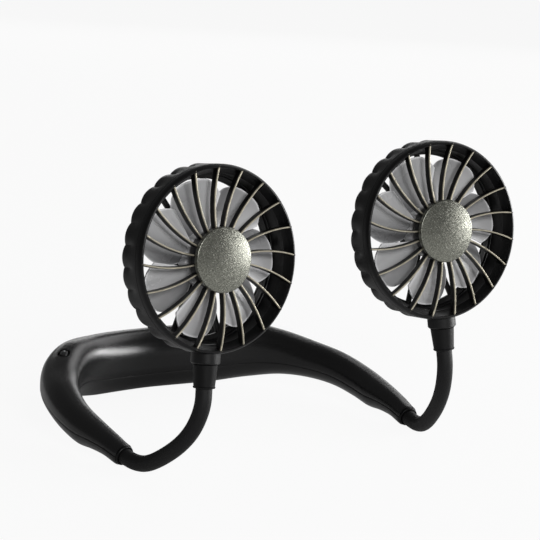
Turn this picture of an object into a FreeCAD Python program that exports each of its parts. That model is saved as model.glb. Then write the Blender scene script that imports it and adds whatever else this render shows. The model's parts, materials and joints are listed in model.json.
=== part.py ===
"""Electric neck fan: a hollow neck band, two bendable arms and two caged fans, in millimetres.

The frame has its origin on the table under the middle of the band's back, +Z up, +Y behind the wearer,
and the fans blow towards -Y. Each fan is drawn in a frame of its own: the crown of its cap at the origin,
depth along +Y and its stem hanging along -Z.
"""
import FreeCAD, Part
import math
import os
import re
import types

import Sketcher

V = FreeCAD.Vector
Placement = FreeCAD.Placement
Rotation = FreeCAD.Rotation
X_AXIS = V(1, 0, 0)
Y_AXIS = V(0, 1, 0)
Z_AXIS = V(0, 0, 1)
SIDES = {"left": -1, "right": 1}

SIZES = {
    # Neck band: a U in plan, arched between its back and its two ends
    "band_arc_radius": 78, "band_height": 28.7, "band_thickness": 18.6, "band_rise": 8.2,
    "band_wall": 1.8, "foot_flat": 0.4, "end_spread": 76, "end_reach": 109.7,
    "end_radius": 4.75, "end_lift": 0.1, "end_slope": 13,
    # Shell screws and the columns they run in
    "column_radius": 2.7, "screw_radius": 1.0, "screw_head_radius": 1.9, "screw_head_height": 1.3,
    "screw_sink": 2.4, "screw_length": 8,
    # Cells, board, switch, socket, button and wiring inside the band
    "cell_length": 29, "cell_thickness": 7.5, "cell_height": 15, "cell_lift": 5.8, "cell_gap": 2,
    "board_length": 27, "board_width": 8.6, "board_thickness": 1.0, "board_drop": 7.6, "post_radius": 1.5,
    "switch_width": 5.2, "switch_height": 1.8, "switch_stem_radius": 1.4, "switch_stem_height": 0.9,
    "switch_offset": 0, "socket_width": 8.9, "socket_height": 3.2, "socket_depth": 6.2,
    "socket_wall": 0.35, "socket_offset": 8.8, "tongue_width": 6.8, "tongue_length": 4,
    "tongue_thickness": 0.7, "button_length": 7, "button_width": 4.4, "button_proud": 0.35,
    "button_flange": 0.7, "button_flange_height": 0.8, "button_flange_drop": 0.6, "button_travel": 0.6,
    "wire_radius": 0.8,
    # Hose, its bendable core, its two leads and the bush that holds it in the band
    "hose_radius": 3.5, "hose_bore": 2.5, "hose_rise": 13.8, "hose_fall": 18,
    "hose_lead": 1.3, "hose_tuck": 3.6, "core_radius": 1.2, "lead_radius": 0.4, "lead_offset": 1.9,
    "lead_tail": 24,
    "bush_wall": 0.5, "bush_length": 8.5, "flange_height": 1.1, "flange_wall": 0.95, "passage_radius": 2.6,
    # Where the fans stand and how they are turned at rest
    "head_spread": 58, "head_reach": 141.6, "head_height": 99.5, "left_drop": 4.4,
    "head_tilt": 7.6, "head_toe": 2.9, "head_turn": 0.8, "head_lean": 5.4, "stem_setback": 11.5,
    # Stem: collar and spigot under the fan, and the tapered sleeve they turn in
    "collar_radius": 6.2, "collar_reach": 43.2, "collar_bore": 2.4, "spigot_radius": 3.5,
    "spigot_length": 5.2, "neck_length": 3.2, "sleeve_length": 10, "sleeve_top_radius": 5.2,
    "sleeve_foot_radius": 4.6,
    "clip_radius": 4.15, "clip_depth": 0.55, "clip_height": 0.7, "clip_opening": 2.2, "clip_rise": 0.7,
    # Fan ring
    "rim_radius": 39, "rim_wall": 2.4, "seam_depth": 8.2, "rim_rear": 18.2,
    "flute_count": 26, "flute_radius": 4.6, "flute_depth": 0.7, "flute_length": 7.6,
    # Front cover: lip, spigot with three lugs, hub and curved ribs
    "lip_bore": 37.3, "lip_front": 4.2, "lip_round": 0.5, "lip_shoulder": 1.1, "lip_drop": 2.1,
    "cover_spigot_wall": 1.2, "cover_spigot_rear": 10.5, "lug_height": 1, "lug_depth": 0.9, "lug_angle": 10,
    "lug_play": 0.3, "twist_angle": 15, "lug_count": 3, "hub_radius": 13, "hub_rear": 7.4, "rib_count": 20,
    "rib_front": 4.4, "rib_depth": 3, "rib_width": 1, "rib_bow_radius": 61.3, "rib_phase": 11.6,
    # Cap on the middle of the cover
    "cap_radius": 13.6, "cap_dome": 0.45, "cap_edge": 1.2, "cap_depth": 3.2, "cap_land": 12,
    # Impeller
    "wheel_radius": 33, "wheel_front": 10.9, "wheel_rear": 17.6, "wheel_hub_radius": 12.2,
    "wheel_hub_wall": 1.2, "wheel_crown": 1.4, "wheel_boss_radius": 2.6, "wheel_boss_length": 1.6,
    "blade_count": 7, "blade_thickness": 0.9, "blade_camber": 2.2, "blade_root_chord": 9,
    "blade_tip_chord": 25,
    # Motor
    "motor_radius": 10, "motor_front": 14.5, "motor_wall": 0.8, "motor_base_front": 20.9,
    "shaft_radius": 1, "shaft_tail": 0.9, "armature_radius": 7.4, "armature_gap": 0.9,
    "motor_screw_radius": 0.8, "motor_screw_head_radius": 1.5, "motor_screw_head_height": 0.7,
    "motor_screw_ring": 5.5,
    # Rear grille
    "grille_ring_wall": 1.6, "grille_tuck": 1.7, "grille_flange_step": 0.7, "grille_ring_depth": 1.8,
    "spoke_count": 9, "spoke_width": 2.2, "spoke_depth": 2, "cup_wall": 1.4, "cup_front": 18.5,
    "cup_seat": 22.1, "cup_base": 1.4,
    # Clearances: parts that slip together, shafts that turn, seams between turning faces, and cuts run past
    "fit_gap": 0.2, "running_gap": 0.05, "seam_gap": 0.15, "overrun": 2,
}

# Stations from the middle of the back to one end: place along the band, then how much of the height,
# thickness and arch is there, and how high up the side the two shells part
STATION_SHARES = [
    (0.00, 1.00, 1.00, 0.00, 0.31),
    (0.20, 0.99, 1.00, 0.14, 0.31),
    (0.35, 0.85, 1.00, 0.62, 0.32),
    (0.45, 0.60, 0.98, 0.94, 0.33),
    (0.55, 0.41, 0.88, 1.00, 0.35),
    (0.65, 0.33, 0.72, 0.87, 0.38),
    (0.75, 0.28, 0.58, 0.54, 0.41),
    (0.82, 0.24, 0.50, 0.32, 0.44),
    (0.88, 0.12, 0.32, 0.33, 0.46),
    (0.94, 0.03, 0.13, 0.25, 0.48),
    (1.00, 0.00, 0.00, 0.00, 0.50),
]
CORNER_WIDTH_SHARE = 0.46
CORNER_HEIGHT_SHARE = 0.40
CORNER_PULL_SHARE = 0.55
CAVITY_END_SHARE = 0.82
SLOPE_START_SHARE = 0.75
COLUMN_SHARES = (-0.74, -0.3, 0.3, 0.74)
BOARD_SHARE = -0.44
BOARD_SPAN_SHARE = 0.04
CORD_TANGENT_SHARE = 0.45
LEFT_WIRE_SHARES = ((-0.55, 0.5), (-0.62, 0.5), (-0.69, 0.5), (-0.75, 0.5), (-0.80, 0.52))
RIGHT_WIRE_SHARES = (
    (-0.33, 0.53), (-0.28, 0.54), (-0.18, 0.56), (-0.06, 0.57), (0.06, 0.57), (0.18, 0.56),
    (0.28, 0.54), (0.38, 0.52), (0.48, 0.5), (0.58, 0.5), (0.66, 0.5), (0.73, 0.5), (0.79, 0.52),
)
WIRE_INSET_SHARE = 0.8

doc = FreeCAD.newDocument("neck_fan")
sheet = doc.addObject("Spreadsheet::Sheet", "Sizes")
for row, (name, number) in enumerate(SIZES.items(), start=1):
    sheet.set(f"A{row}", name)
    sheet.set(f"B{row}", str(number))
    sheet.setAlias(f"B{row}", name)
doc.recompute()
size = types.SimpleNamespace(**{name: float(sheet.get(name)) for name in SIZES})
nodes = {}


# Small tools

def bound(formula):
    """Point the size names in a formula at the sheet."""
    return re.sub(r"[a-z]\w*", r"Sizes.\g<0>", formula)


def worth(formula):
    """Value of a formula of size names."""
    return float(sheet.evalExpression(bound(formula)))


def keep(label, solid, placement=None):
    """Give a finished sub-part its label and place, and list it for export."""
    solid.Label = label
    if placement is not None:
        solid.Placement = placement
    nodes[label] = solid


def keep_shape(label, shape, placement=None):
    """Make a sub-part from a shape built by hand."""
    solid = doc.addObject("Part::Feature", label)
    solid.Shape = shape
    keep(label, solid, placement)


def origin_feature(body, role):
    return next(item for item in body.Origin.OriginFeatures if item.Role == role)


def start_sketch(body, plane, name, lift="0", turn="0", turn_axis=Z_AXIS):
    """Sketch on a plane of its own body, lifted along its normal and turned by sheet formulas."""
    sketch = body.newObject("Sketcher::SketchObject", name)
    sketch.AttachmentSupport = [(origin_feature(body, plane), "")]
    sketch.MapMode = "FlatFace"
    sketch.AttachmentOffset = Placement(V(), Rotation(turn_axis, worth(turn)))
    sketch.setExpression("AttachmentOffset.Base.z", bound(lift))
    if turn != "0":
        sketch.setExpression("AttachmentOffset.Rotation.Angle", bound(turn))
    return sketch


def pin_point(sketch, edge, end, corner):
    """Fix one end of an edge at a corner given by two formulas."""
    for kind, axis, formula in (("DistanceX", -2, corner[0]), ("DistanceY", -1, corner[1])):
        if formula == "0":
            sketch.addConstraint(Sketcher.Constraint("PointOnObject", edge, end, axis))
        else:
            place = sketch.addConstraint(Sketcher.Constraint(kind, -1, 1, edge, end, worth(formula)))
            sketch.setExpression(f"Constraints[{place}]", bound(formula))


def draw_outline(sketch, corners):
    """Closed outline of straight edges through corners given by formulas."""
    points = [V(worth(across), worth(along), 0) for across, along in corners]
    count = len(points)
    for edge in range(count):
        sketch.addGeometry(Part.LineSegment(points[edge], points[(edge + 1) % count]), False)
    for edge in range(count):
        sketch.addConstraint(Sketcher.Constraint("Coincident", edge, 2, (edge + 1) % count, 1))
        pin_point(sketch, edge, 1, corners[edge])
    return sketch


def turn_outline(body, corners, plane="XY_Plane", kind="Revolution", angle=None, start="0"):
    """Revolve an outline about the vertical axis of its sketch, all round or through an angle."""
    sketch = draw_outline(start_sketch(body, plane, "outline", turn=start, turn_axis=Y_AXIS), corners)
    feature = body.newObject(f"PartDesign::{kind}", kind.lower())
    feature.Profile = sketch
    feature.ReferenceAxis = (sketch, ["V_Axis"])
    if angle is not None:
        feature.setExpression("Angle", bound(angle))
    return feature


def round_pattern(body, feature, count):
    """Repeat a feature round the depth axis of its body."""
    pattern = body.newObject("PartDesign::PolarPattern", "round_pattern")
    pattern.Originals = [feature]
    pattern.Axis = (origin_feature(body, "Y_Axis"), [""])
    pattern.Angle = 360
    pattern.setExpression("Occurrences", bound(count))
    body.Tip = pattern


def new_body(name):
    return doc.addObject("PartDesign::Body", name)


def turned_part(label, corners, placement, plane="XY_Plane"):
    """Sub-part that is one revolved outline."""
    body = new_body(label)
    turn_outline(body, corners, plane)
    keep(label, body, placement)


def cylinder(name, radius, length, base, axis):
    """Cylinder with its sizes and base bound to the sheet."""
    solid = doc.addObject("Part::Cylinder", name)
    solid.Placement = Placement(V(), Rotation(Z_AXIS, axis))
    solid.setExpression("Radius", bound(radius))
    solid.setExpression("Height", bound(length))
    for direction, formula in zip("xyz", base):
        solid.setExpression(f"Placement.Base.{direction}", bound(formula))
    return solid


def box(name, lengths, base=()):
    """Box with its sizes, and its base where one is given, bound to the sheet."""
    solid = doc.addObject("Part::Box", name)
    for side, formula in zip(("Length", "Width", "Height"), lengths):
        solid.setExpression(side, bound(formula))
    for direction, formula in zip("xyz", base):
        solid.setExpression(f"Placement.Base.{direction}", bound(formula))
    return solid


def cut(name, base, tool):
    result = doc.addObject("Part::Cut", name)
    result.Base = base
    result.Tool = tool
    result.Refine = False
    return result


def join(name, solids):
    result = doc.addObject("Part::MultiFuse", name)
    result.Shapes = solids
    result.Refine = False
    return result


def route_wire(points, tangents):
    """Straight runs through points, with an arc of the given tangent length at each inner point."""
    edges = []
    radii = []
    here = points[0]
    for index in range(1, len(points) - 1):
        before = (points[index - 1] - points[index]).normalize()
        after = (points[index + 1] - points[index]).normalize()
        half_turn = (math.pi - before.getAngle(after)) / 2
        reach = tangents[index - 1]
        radius = reach / math.tan(half_turn)
        inward = (before + after).normalize()
        middle = points[index] + inward * (radius / math.cos(half_turn) - radius)
        start = points[index] + before * reach
        finish = points[index] + after * reach
        edges.append(Part.LineSegment(here, start).toShape())
        edges.append(Part.Arc(start, middle, finish).toShape())
        radii.append(radius)
        here = finish
    edges.append(Part.LineSegment(here, points[-1]).toShape())
    return Part.Wire(edges), radii


def tube(wire, radius):
    """Round bar along a route."""
    start = wire.Edges[0]
    ring = Part.Circle(start.valueAt(start.FirstParameter), start.tangentAt(start.FirstParameter), radius)
    bar = wire.makePipeShell([Part.Wire(ring.toShape())], True, False)
    share = bar.Volume / (math.pi * radius ** 2 * wire.Length)
    print(f"route {wire.Length:.1f} mm long, volume {share:.4f} of section times length")
    return bar


# Neck band

def station(place_share):
    """Centre, outward and upward directions and sizes of the band at a signed share of its half length."""
    side = -1 if place_share < 0 else 1
    share = min(abs(place_share), 1)
    shares = station_shares(share)
    leg_drop = size.end_reach - size.band_arc_radius
    leg_inset = size.band_arc_radius - size.end_spread
    leg_radius = (leg_inset ** 2 + leg_drop ** 2) / (2 * leg_inset)
    back_length = size.band_arc_radius * math.pi / 2
    length = share * (back_length + leg_radius * math.asin(leg_drop / leg_radius))
    if length < back_length:
        turn = length / size.band_arc_radius
        across = size.band_arc_radius * math.sin(turn)
        along = size.band_arc_radius * (math.cos(turn) - 1)
        heading = turn
    else:
        turn = (length - back_length) / leg_radius
        across = size.band_arc_radius - leg_radius * (1 - math.cos(turn))
        along = -size.band_arc_radius - leg_radius * math.sin(turn)
        heading = math.pi / 2 + turn
    end_size = 2 * size.end_radius
    height = end_size + shares[0] * (size.band_height - end_size)
    width = end_size + shares[1] * (size.band_thickness - end_size)
    end_share = max(0, share - CAVITY_END_SHARE) / (1 - CAVITY_END_SHARE)
    low = shares[2] * size.band_rise - size.foot_flat * (1 - end_share) + size.end_lift * end_share
    slope_share = max(0, share - SLOPE_START_SHARE) / (1 - SLOPE_START_SHARE)
    slope = math.radians(size.end_slope) * slope_share
    flat = V(side * math.cos(heading), -math.sin(heading), 0)
    forward = flat * math.cos(slope) - Z_AXIS * math.sin(slope)
    outward = V(side * math.sin(heading), math.cos(heading), 0)
    upward = forward.cross(outward) * side
    place = types.SimpleNamespace(forward=forward, outward=outward, upward=upward)
    place.height = height
    place.width = width
    place.centre = V(side * across, along, low + height / 2)
    place.parting = shares[3] * height - height / 2
    return place


def station_shares(share):
    """Shares of height, thickness, arch and parting between the two nearest stations."""
    for before, after in zip(STATION_SHARES, STATION_SHARES[1:]):
        if share <= after[0]:
            part = (share - before[0]) / (after[0] - before[0])
            return [low + part * (high - low) for low, high in zip(before[1:], after[1:])]
    return list(STATION_SHARES[-1][1:])


def band_section(place, inset):
    """Oval section of the band, inset all round: four rounded corners joined by short straight sides."""
    half_width = place.width / 2 - inset
    half_height = place.height / 2 - inset
    corner_width = CORNER_WIDTH_SHARE * place.width
    corner_height = max(corner_width, CORNER_HEIGHT_SHARE * place.height) - inset
    corner_width -= inset

    def point(across, upwards):
        return place.centre + place.outward * across + place.upward * upwards

    edges = []
    for right, up in ((1, 1), (-1, 1), (-1, -1), (1, -1)):
        side_level = up * (half_height - corner_height)
        top_level = right * (half_width - corner_width)
        poles = [
            point(right * half_width, side_level),
            point(right * half_width, side_level + up * CORNER_PULL_SHARE * corner_height),
            point(top_level + right * CORNER_PULL_SHARE * corner_width, up * half_height),
            point(top_level, up * half_height),
        ]
        next_point = point(-top_level, up * half_height)
        if right != up:
            poles.reverse()
            next_point = point(right * half_width, -side_level)
        corner = Part.BezierCurve()
        corner.setPoles(poles)
        edges.append(corner.toShape())
        edges.append(Part.LineSegment(poles[-1], next_point).toShape())
    return Part.Wire(edges)


def band_stations(last_share):
    """Signed station places from the left end to the right, up to a share of the half length."""
    places = [row[0] for row in STATION_SHARES if row[0] <= last_share]
    return [-share for share in reversed(places[1:])] + places


def band_loft(last_share, inset):
    sections = [band_section(station(share), inset) for share in band_stations(last_share)]
    return Part.makeLoft(sections, True, False)


def parting_solid():
    """Everything under the arched surface where the two shells part."""
    lines = []
    places = [(share, 0) for share in band_stations(1)]
    for share, run in [(-1, size.overrun)] + places + [(1, size.overrun)]:
        place = station(share)
        middle = place.centre + place.upward * place.parting + place.forward * run
        reach = place.outward * (place.width / 2 + size.overrun)
        lines.append(Part.Wire(Part.LineSegment(middle - reach, middle + reach).toShape()))
    surface = Part.makeLoft(lines, False, False)
    return surface.Faces[0].extrude(V(0, 0, -size.band_height - size.band_rise))


def end_frame(side):
    """Middle of a band end and the direction in which the hose leaves it."""
    place = station(side)
    return place.centre, place.forward


def column_base(share):
    """Point under a screw column, on the band's underside."""
    place = station(share)
    return place.centre - Z_AXIS * (place.height / 2)


def band_top(share):
    """Point on the crest of the band."""
    place = station(share)
    return place.centre + place.upward * (place.height / 2)


def button_frame():
    """Crest of the band over the board: X along the slope towards the back, Y outward, Z up."""
    along = (band_top(BOARD_SHARE + BOARD_SPAN_SHARE) - band_top(BOARD_SHARE - BOARD_SPAN_SHARE)).normalize()
    outward = station(BOARD_SHARE).outward
    return Placement(band_top(BOARD_SHARE), Rotation(along, outward, along.cross(outward), "XYZ"))


def button_place():
    """Frame of the button, over the switch on the board."""
    return button_frame() * Placement(V(size.switch_offset, 0, 0), Rotation())


def oval_bar(length, width, height, base):
    """Upright bar with round ends along X, centred over the origin."""
    radius = width / 2
    reach = length / 2 - radius
    middle = Part.makeBox(2 * reach, width, height, V(-reach, -radius, base))
    ends = [Part.makeCylinder(radius, height, V(side * reach, 0, base)) for side in (-1, 1)]
    return middle.fuse(ends).removeSplitter()


def band_columns():
    """Screw columns right through the band, and what is drilled for the screws, bushes and leads."""
    columns = []
    drills = []
    for share in COLUMN_SHARES:
        base = column_base(share)
        columns.append(Part.makeCylinder(size.column_radius, size.band_height, base))
        drills.append(Part.makeCylinder(size.screw_radius + size.running_gap,
                                        size.screw_length + size.overrun, base))
        drills.append(Part.makeCylinder(size.screw_head_radius + size.fit_gap,
                                        size.screw_sink + size.overrun, base - Z_AXIS * size.overrun))
    for side in SIDES.values():
        centre, forward = end_frame(side)
        bush = size.hose_radius + size.bush_wall + 2 * size.running_gap
        drills.append(Part.makeCylinder(bush, size.bush_length + size.seam_gap, centre, forward * -1))
        drills.append(Part.makeCylinder(size.passage_radius, size.bush_length + size.lead_tail, centre,
                                        forward * -1))
    return columns, drills


def board_place(offset, lift):
    """Frame on the board, offset along the band and lifted from the board's underside."""
    under = -size.board_drop - size.board_thickness
    return button_frame() * Placement(V(offset, 0, under + lift), Rotation())


def make_shells():
    """Upper and lower shells: the band split along its parting, hollowed, and drilled."""
    outer = band_loft(1, 0)
    cavity = band_loft(CAVITY_END_SHARE, size.band_wall)
    under = parting_solid()
    columns, drills = band_columns()
    opening = oval_bar(size.button_length + 2 * size.fit_gap, size.button_width + 2 * size.fit_gap,
                       size.band_wall + 2 * size.overrun, -size.band_wall - size.overrun)
    opening.Placement = button_place()
    port = Part.makeBox(size.socket_width + 2 * size.fit_gap, size.band_thickness,
                        size.socket_height + 2 * size.fit_gap,
                        V(-size.socket_width / 2 - size.fit_gap, 0, -size.fit_gap))
    port.Placement = board_place(size.socket_offset, size.board_thickness)
    span = 2 * (size.band_arc_radius + size.band_thickness)
    floor = Part.makeBox(span, span, size.band_thickness, V(-span / 2, -span / 2, -size.band_thickness))
    posts = []
    for end in (-1, 1):
        top = board_place(end * (size.board_length / 2 - size.post_radius), 0).Base
        posts.append(Part.makeCylinder(size.post_radius, size.band_height, top - Z_AXIS * size.band_height))
    for label, half, bars, cuts in (
        ("upper_shell", outer.cut(under), columns, [opening, port]),
        ("lower_shell", outer.common(under), columns + posts, [floor]),
    ):
        bars = [bar.common(half) for bar in bars]
        keep_shape(label, half.cut(cavity).fuse(bars).cut(drills + cuts))


def make_shell_screws():
    """Pan-head screws sunk in the underside, one in each column."""
    screws = []
    for share in COLUMN_SHARES:
        seat = column_base(share) + Z_AXIS * size.screw_sink
        head = Part.makeCylinder(size.screw_head_radius, size.screw_head_height,
                                 seat - Z_AXIS * size.screw_head_height)
        shank = Part.makeCylinder(size.screw_radius, size.screw_length - size.screw_sink, seat)
        screws.append(head.fuse(shank).removeSplitter())
    keep_shape("shell_screws", Part.makeCompound(screws))


def make_cells():
    """Two flat cells standing side by side in the back of the band."""
    for name, side in SIDES.items():
        turn = side * math.degrees((size.cell_length + size.cell_gap) / 2 / size.band_arc_radius)
        cell = box(f"{name}_cell", ("cell_length", "cell_thickness", "cell_height"))
        spin = Placement(V(0, -size.band_arc_radius, 0), Rotation(Z_AXIS, -turn))
        shift = V(-size.cell_length / 2, size.band_arc_radius - size.cell_thickness / 2, size.cell_lift)
        keep(f"{name}_battery_cell", cell, spin * Placement(shift, Rotation()))


def make_electronics():
    """Control board with its switch and charging socket, and the button above the switch."""
    board = box("board", ("board_length", "board_width", "board_thickness"))
    corner = Placement(V(-size.board_length / 2, -size.board_width / 2, 0), Rotation())
    keep("control_board", board, board_place(0, 0) * corner)
    half = size.switch_width / 2
    case = Part.makeBox(size.switch_width, size.switch_width, size.switch_height, V(-half, -half, 0))
    stem = Part.makeCylinder(size.switch_stem_radius, size.switch_stem_height, V(0, 0, size.switch_height))
    keep_shape("tact_switch", case.fuse(stem).removeSplitter(),
               board_place(size.switch_offset, size.board_thickness))
    wall = size.socket_wall
    outside = Part.makeBox(size.socket_width, size.socket_depth, size.socket_height,
                           V(-size.socket_width / 2, 0, 0))
    inside = Part.makeBox(size.socket_width - 2 * wall, size.socket_depth, size.socket_height - 2 * wall,
                          V(wall - size.socket_width / 2, wall, wall))
    tongue = Part.makeBox(size.tongue_width, wall + size.tongue_length, size.tongue_thickness,
                          V(-size.tongue_width / 2, 0, (size.socket_height - size.tongue_thickness) / 2))
    keep_shape("charge_socket", outside.cut(inside).fuse(tongue).removeSplitter(),
               board_place(size.socket_offset, size.board_thickness))
    switch_top = size.switch_height + size.switch_stem_height
    rest = switch_top + size.button_travel + size.seam_gap - size.board_drop
    top = oval_bar(size.button_length, size.button_width, size.button_proud - rest, rest)
    flange_top = -size.band_wall - size.button_flange_drop
    flange = oval_bar(size.button_length + 2 * size.button_flange,
                      size.button_width + 2 * size.button_flange,
                      size.button_flange_height, flange_top - size.button_flange_height)
    keep_shape("power_button", top.fuse(flange).removeSplitter(), button_place())


def make_band_wiring():
    """Wire runs along the inner wall of the cavity, from the board to each end."""
    runs = []
    for table in (LEFT_WIRE_SHARES, RIGHT_WIRE_SHARES):
        points = []
        for share, rise_share in table:
            place = station(share)
            inset = WIRE_INSET_SHARE * (place.width / 2 - size.band_wall)
            rise = rise_share * place.height - place.height / 2
            points.append(place.centre - place.outward * inset + place.upward * rise)
        lengths = [(after - before).Length for before, after in zip(points, points[1:])]
        tangents = [CORD_TANGENT_SHARE * min(pair) for pair in zip(lengths, lengths[1:])]
        runs.append(tube(route_wire(points, tangents)[0], size.wire_radius))
    keep_shape("band_wiring", Part.makeCompound(runs))


# Arms

def fan_frame(side):
    """Frame of a fan: crown of the cap at its origin, depth along Y, stem along -Z."""
    turn = Rotation(Z_AXIS, -side * size.head_toe - size.head_turn) * Rotation(X_AXIS, -size.head_tilt)
    turn = turn * Rotation(Y_AXIS, -side * size.head_lean)
    drop = size.left_drop if side < 0 else 0
    base = V(side * size.head_spread, -size.head_reach, size.head_height - drop)
    return Placement(base, turn) * Placement(V(0, -size.stem_setback, 0), Rotation())


def sleeve_frame(side):
    """Frame of a stem sleeve: middle of its foot at the origin, Z up the stem."""
    foot = -size.collar_reach - size.seam_gap - size.sleeve_length
    return fan_frame(side) * Placement(V(0, size.stem_setback, foot), Rotation())


def hose_route(side, start_tuck, end_tuck, shift):
    """Route of the hose from the band end to the sleeve, shifted square to its bend."""
    centre, forward = end_frame(side)
    foot = sleeve_frame(side)
    upward = foot.Rotation.multVec(Z_AXIS)
    points = [
        centre - forward * start_tuck,
        centre + forward * size.hose_rise,
        foot.Base - upward * size.hose_fall,
        foot.Base + upward * end_tuck,
    ]
    across = forward.cross(upward).normalize() * shift
    tangents = [size.hose_rise - size.hose_lead, size.hose_fall - size.hose_lead]
    wire, radii = route_wire([point + across for point in points], tangents)
    print("hose radii", [round(radius, 1) for radius in radii])
    return wire


def make_arm(name, side):
    """Hose with its bendable core and two leads, and the bush and sleeve that hold its ends."""
    route = hose_route(side, size.bush_length, size.hose_tuck, 0)
    keep_shape(f"{name}_hose", tube(route, size.hose_radius).cut(tube(route, size.hose_bore)))
    keep_shape(f"{name}_core_wire", tube(route, size.core_radius))
    tail = size.bush_length + size.lead_tail
    leads = [tube(hose_route(side, tail, size.sleeve_length, shift), size.lead_radius)
             for shift in (-size.lead_offset, size.lead_offset)]
    keep_shape(f"{name}_leads", Part.makeCompound(leads))
    centre, forward = end_frame(side)
    inner = Placement(centre - forward * size.bush_length, Rotation(Z_AXIS, forward))
    barrel = "hose_radius + running_gap + bush_wall"
    turned_part(f"{name}_end_bush", [
        ("hose_radius + running_gap", "0"), (barrel, "0"), (barrel, "bush_length + seam_gap"),
        ("hose_radius + flange_wall", "bush_length + seam_gap"),
        ("hose_radius + flange_wall", "bush_length + flange_height"),
        ("hose_radius + running_gap", "bush_length + flange_height"),
    ], inner, "XZ_Plane")
    neck = "sleeve_length - neck_length"
    chamber = "clip_radius + fit_gap"
    turned_part(f"{name}_stem_sleeve", [
        ("hose_radius + running_gap", "0"), ("sleeve_foot_radius", "0"),
        ("sleeve_top_radius", "sleeve_length"),
        ("spigot_radius + running_gap", "sleeve_length"), ("spigot_radius + running_gap", neck),
        (chamber, neck), (chamber, "hose_tuck + fit_gap"),
        ("hose_radius + running_gap", "hose_tuck + fit_gap"),
    ], sleeve_frame(side), "XZ_Plane")


# Fans

def make_head_shell(name, frame):
    """Fluted fan ring with slots for the cover's lugs, and the collar and spigot of its stem."""
    body = new_body(f"{name}_ring")
    bore = "rim_radius - rim_wall"
    turn_outline(body, [(bore, "seam_depth"), ("rim_radius", "seam_depth"), ("rim_radius", "rim_rear"),
                        (bore, "rim_rear")])
    flute = start_sketch(body, "XZ_Plane", "flute", lift="-rim_rear")
    flute.addGeometry(Part.Circle(V(0, worth("rim_radius"), 0), Z_AXIS, worth("flute_radius")), False)
    flute.addConstraint(Sketcher.Constraint("PointOnObject", 0, 3, -2))
    pin = flute.addConstraint(Sketcher.Constraint("DistanceY", -1, 1, 0, 3, worth("rim_radius")))
    flute.setExpression(f"Constraints[{pin}]", bound("rim_radius + flute_radius - flute_depth"))
    pin = flute.addConstraint(Sketcher.Constraint("Radius", 0, worth("flute_radius")))
    flute.setExpression(f"Constraints[{pin}]", bound("flute_radius"))
    pocket = body.newObject("PartDesign::Pocket", "flute_cut")
    pocket.Profile = flute
    pocket.Reversed = True
    pocket.setExpression("Length", bound("flute_length"))
    round_pattern(body, pocket, "flute_count")
    lug = "rim_radius - rim_wall + lug_height"
    slot_front = "cover_spigot_rear - lug_depth - fit_gap"
    slots = [
        (lug, slot_front, "cover_spigot_rear + fit_gap", "-lug_angle / 2 - lug_play",
         "lug_angle + twist_angle + 2 * lug_play"),
        (f"{lug} - fit_gap / 2", "seam_depth - seam_gap", "cover_spigot_rear - lug_depth / 2",
         "twist_angle - lug_angle / 2 - lug_play / 2", "lug_angle + lug_play"),
    ]
    for outer, front, rear, start, angle in slots:
        inner = "rim_radius - rim_wall - fit_gap"
        slot = turn_outline(body, [(inner, front), (outer, front), (outer, rear), (inner, rear)],
                            kind="Groove", angle=angle, start=start)
        round_pattern(body, slot, "lug_count")
    collar = cylinder(f"{name}_collar", "collar_radius", "collar_reach - rim_radius + rim_wall",
                      ("0", "stem_setback", "-collar_reach"), Z_AXIS)
    spigot = cylinder(f"{name}_spigot", "spigot_radius", "spigot_length + rim_wall",
                      ("0", "stem_setback", "-collar_reach - spigot_length"), Z_AXIS)
    clear_front = cylinder(f"{name}_cover_room", "rim_radius + fit_gap", "seam_depth + fit_gap + overrun",
                           ("0", "-overrun", "0"), Y_AXIS)
    clear_bore = cylinder(f"{name}_duct_room", "rim_radius - rim_wall / 2", "rim_rear",
                          ("0", "0", "0"), Y_AXIS)
    stem = cut(f"{name}_stem", join(f"{name}_stem_bars", [collar, spigot]),
               join(f"{name}_stem_room", [clear_front, clear_bore]))
    bore_length = "collar_reach - rim_radius + rim_wall + spigot_length + 2 * overrun"
    lead_bore = cylinder(f"{name}_lead_bore", "collar_bore", bore_length,
                         ("0", "stem_setback", "-collar_reach - spigot_length - overrun"), Z_AXIS)
    clip_foot = "-collar_reach - spigot_length + clip_rise - seam_gap"
    groove_outside = cylinder(f"{name}_groove_outside", "spigot_radius + overrun",
                              "clip_height + 2 * seam_gap", ("0", "stem_setback", clip_foot), Z_AXIS)
    groove_inside = cylinder(f"{name}_groove_inside", "spigot_radius - clip_depth",
                             "clip_height + 2 * seam_gap", ("0", "stem_setback", clip_foot), Z_AXIS)
    groove = cut(f"{name}_groove", groove_outside, groove_inside)
    shell = cut(f"{name}_shell", join(f"{name}_ring_and_stem", [body, stem]),
                join(f"{name}_stem_cuts", [lead_bore, groove]))
    keep(f"{name}_head_shell", shell, frame)


def make_swivel_clip(name, frame):
    """Open spring ring that keeps the spigot in the sleeve."""
    foot = "-collar_reach - spigot_length + clip_rise"
    outside = cylinder(f"{name}_clip_outside", "clip_radius", "clip_height", ("0", "stem_setback", foot),
                       Z_AXIS)
    inside = cylinder(f"{name}_clip_inside", "spigot_radius - clip_depth + running_gap", "clip_height",
                      ("0", "stem_setback", foot), Z_AXIS)
    gap = box(f"{name}_clip_gap", ("clip_opening", "clip_radius + overrun", "clip_height"),
              ("-clip_opening / 2", "stem_setback", foot))
    clip_cuts = join(f"{name}_clip_cuts", [inside, gap])
    keep(f"{name}_swivel_clip", cut(f"{name}_clip", outside, clip_cuts), frame)


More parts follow.
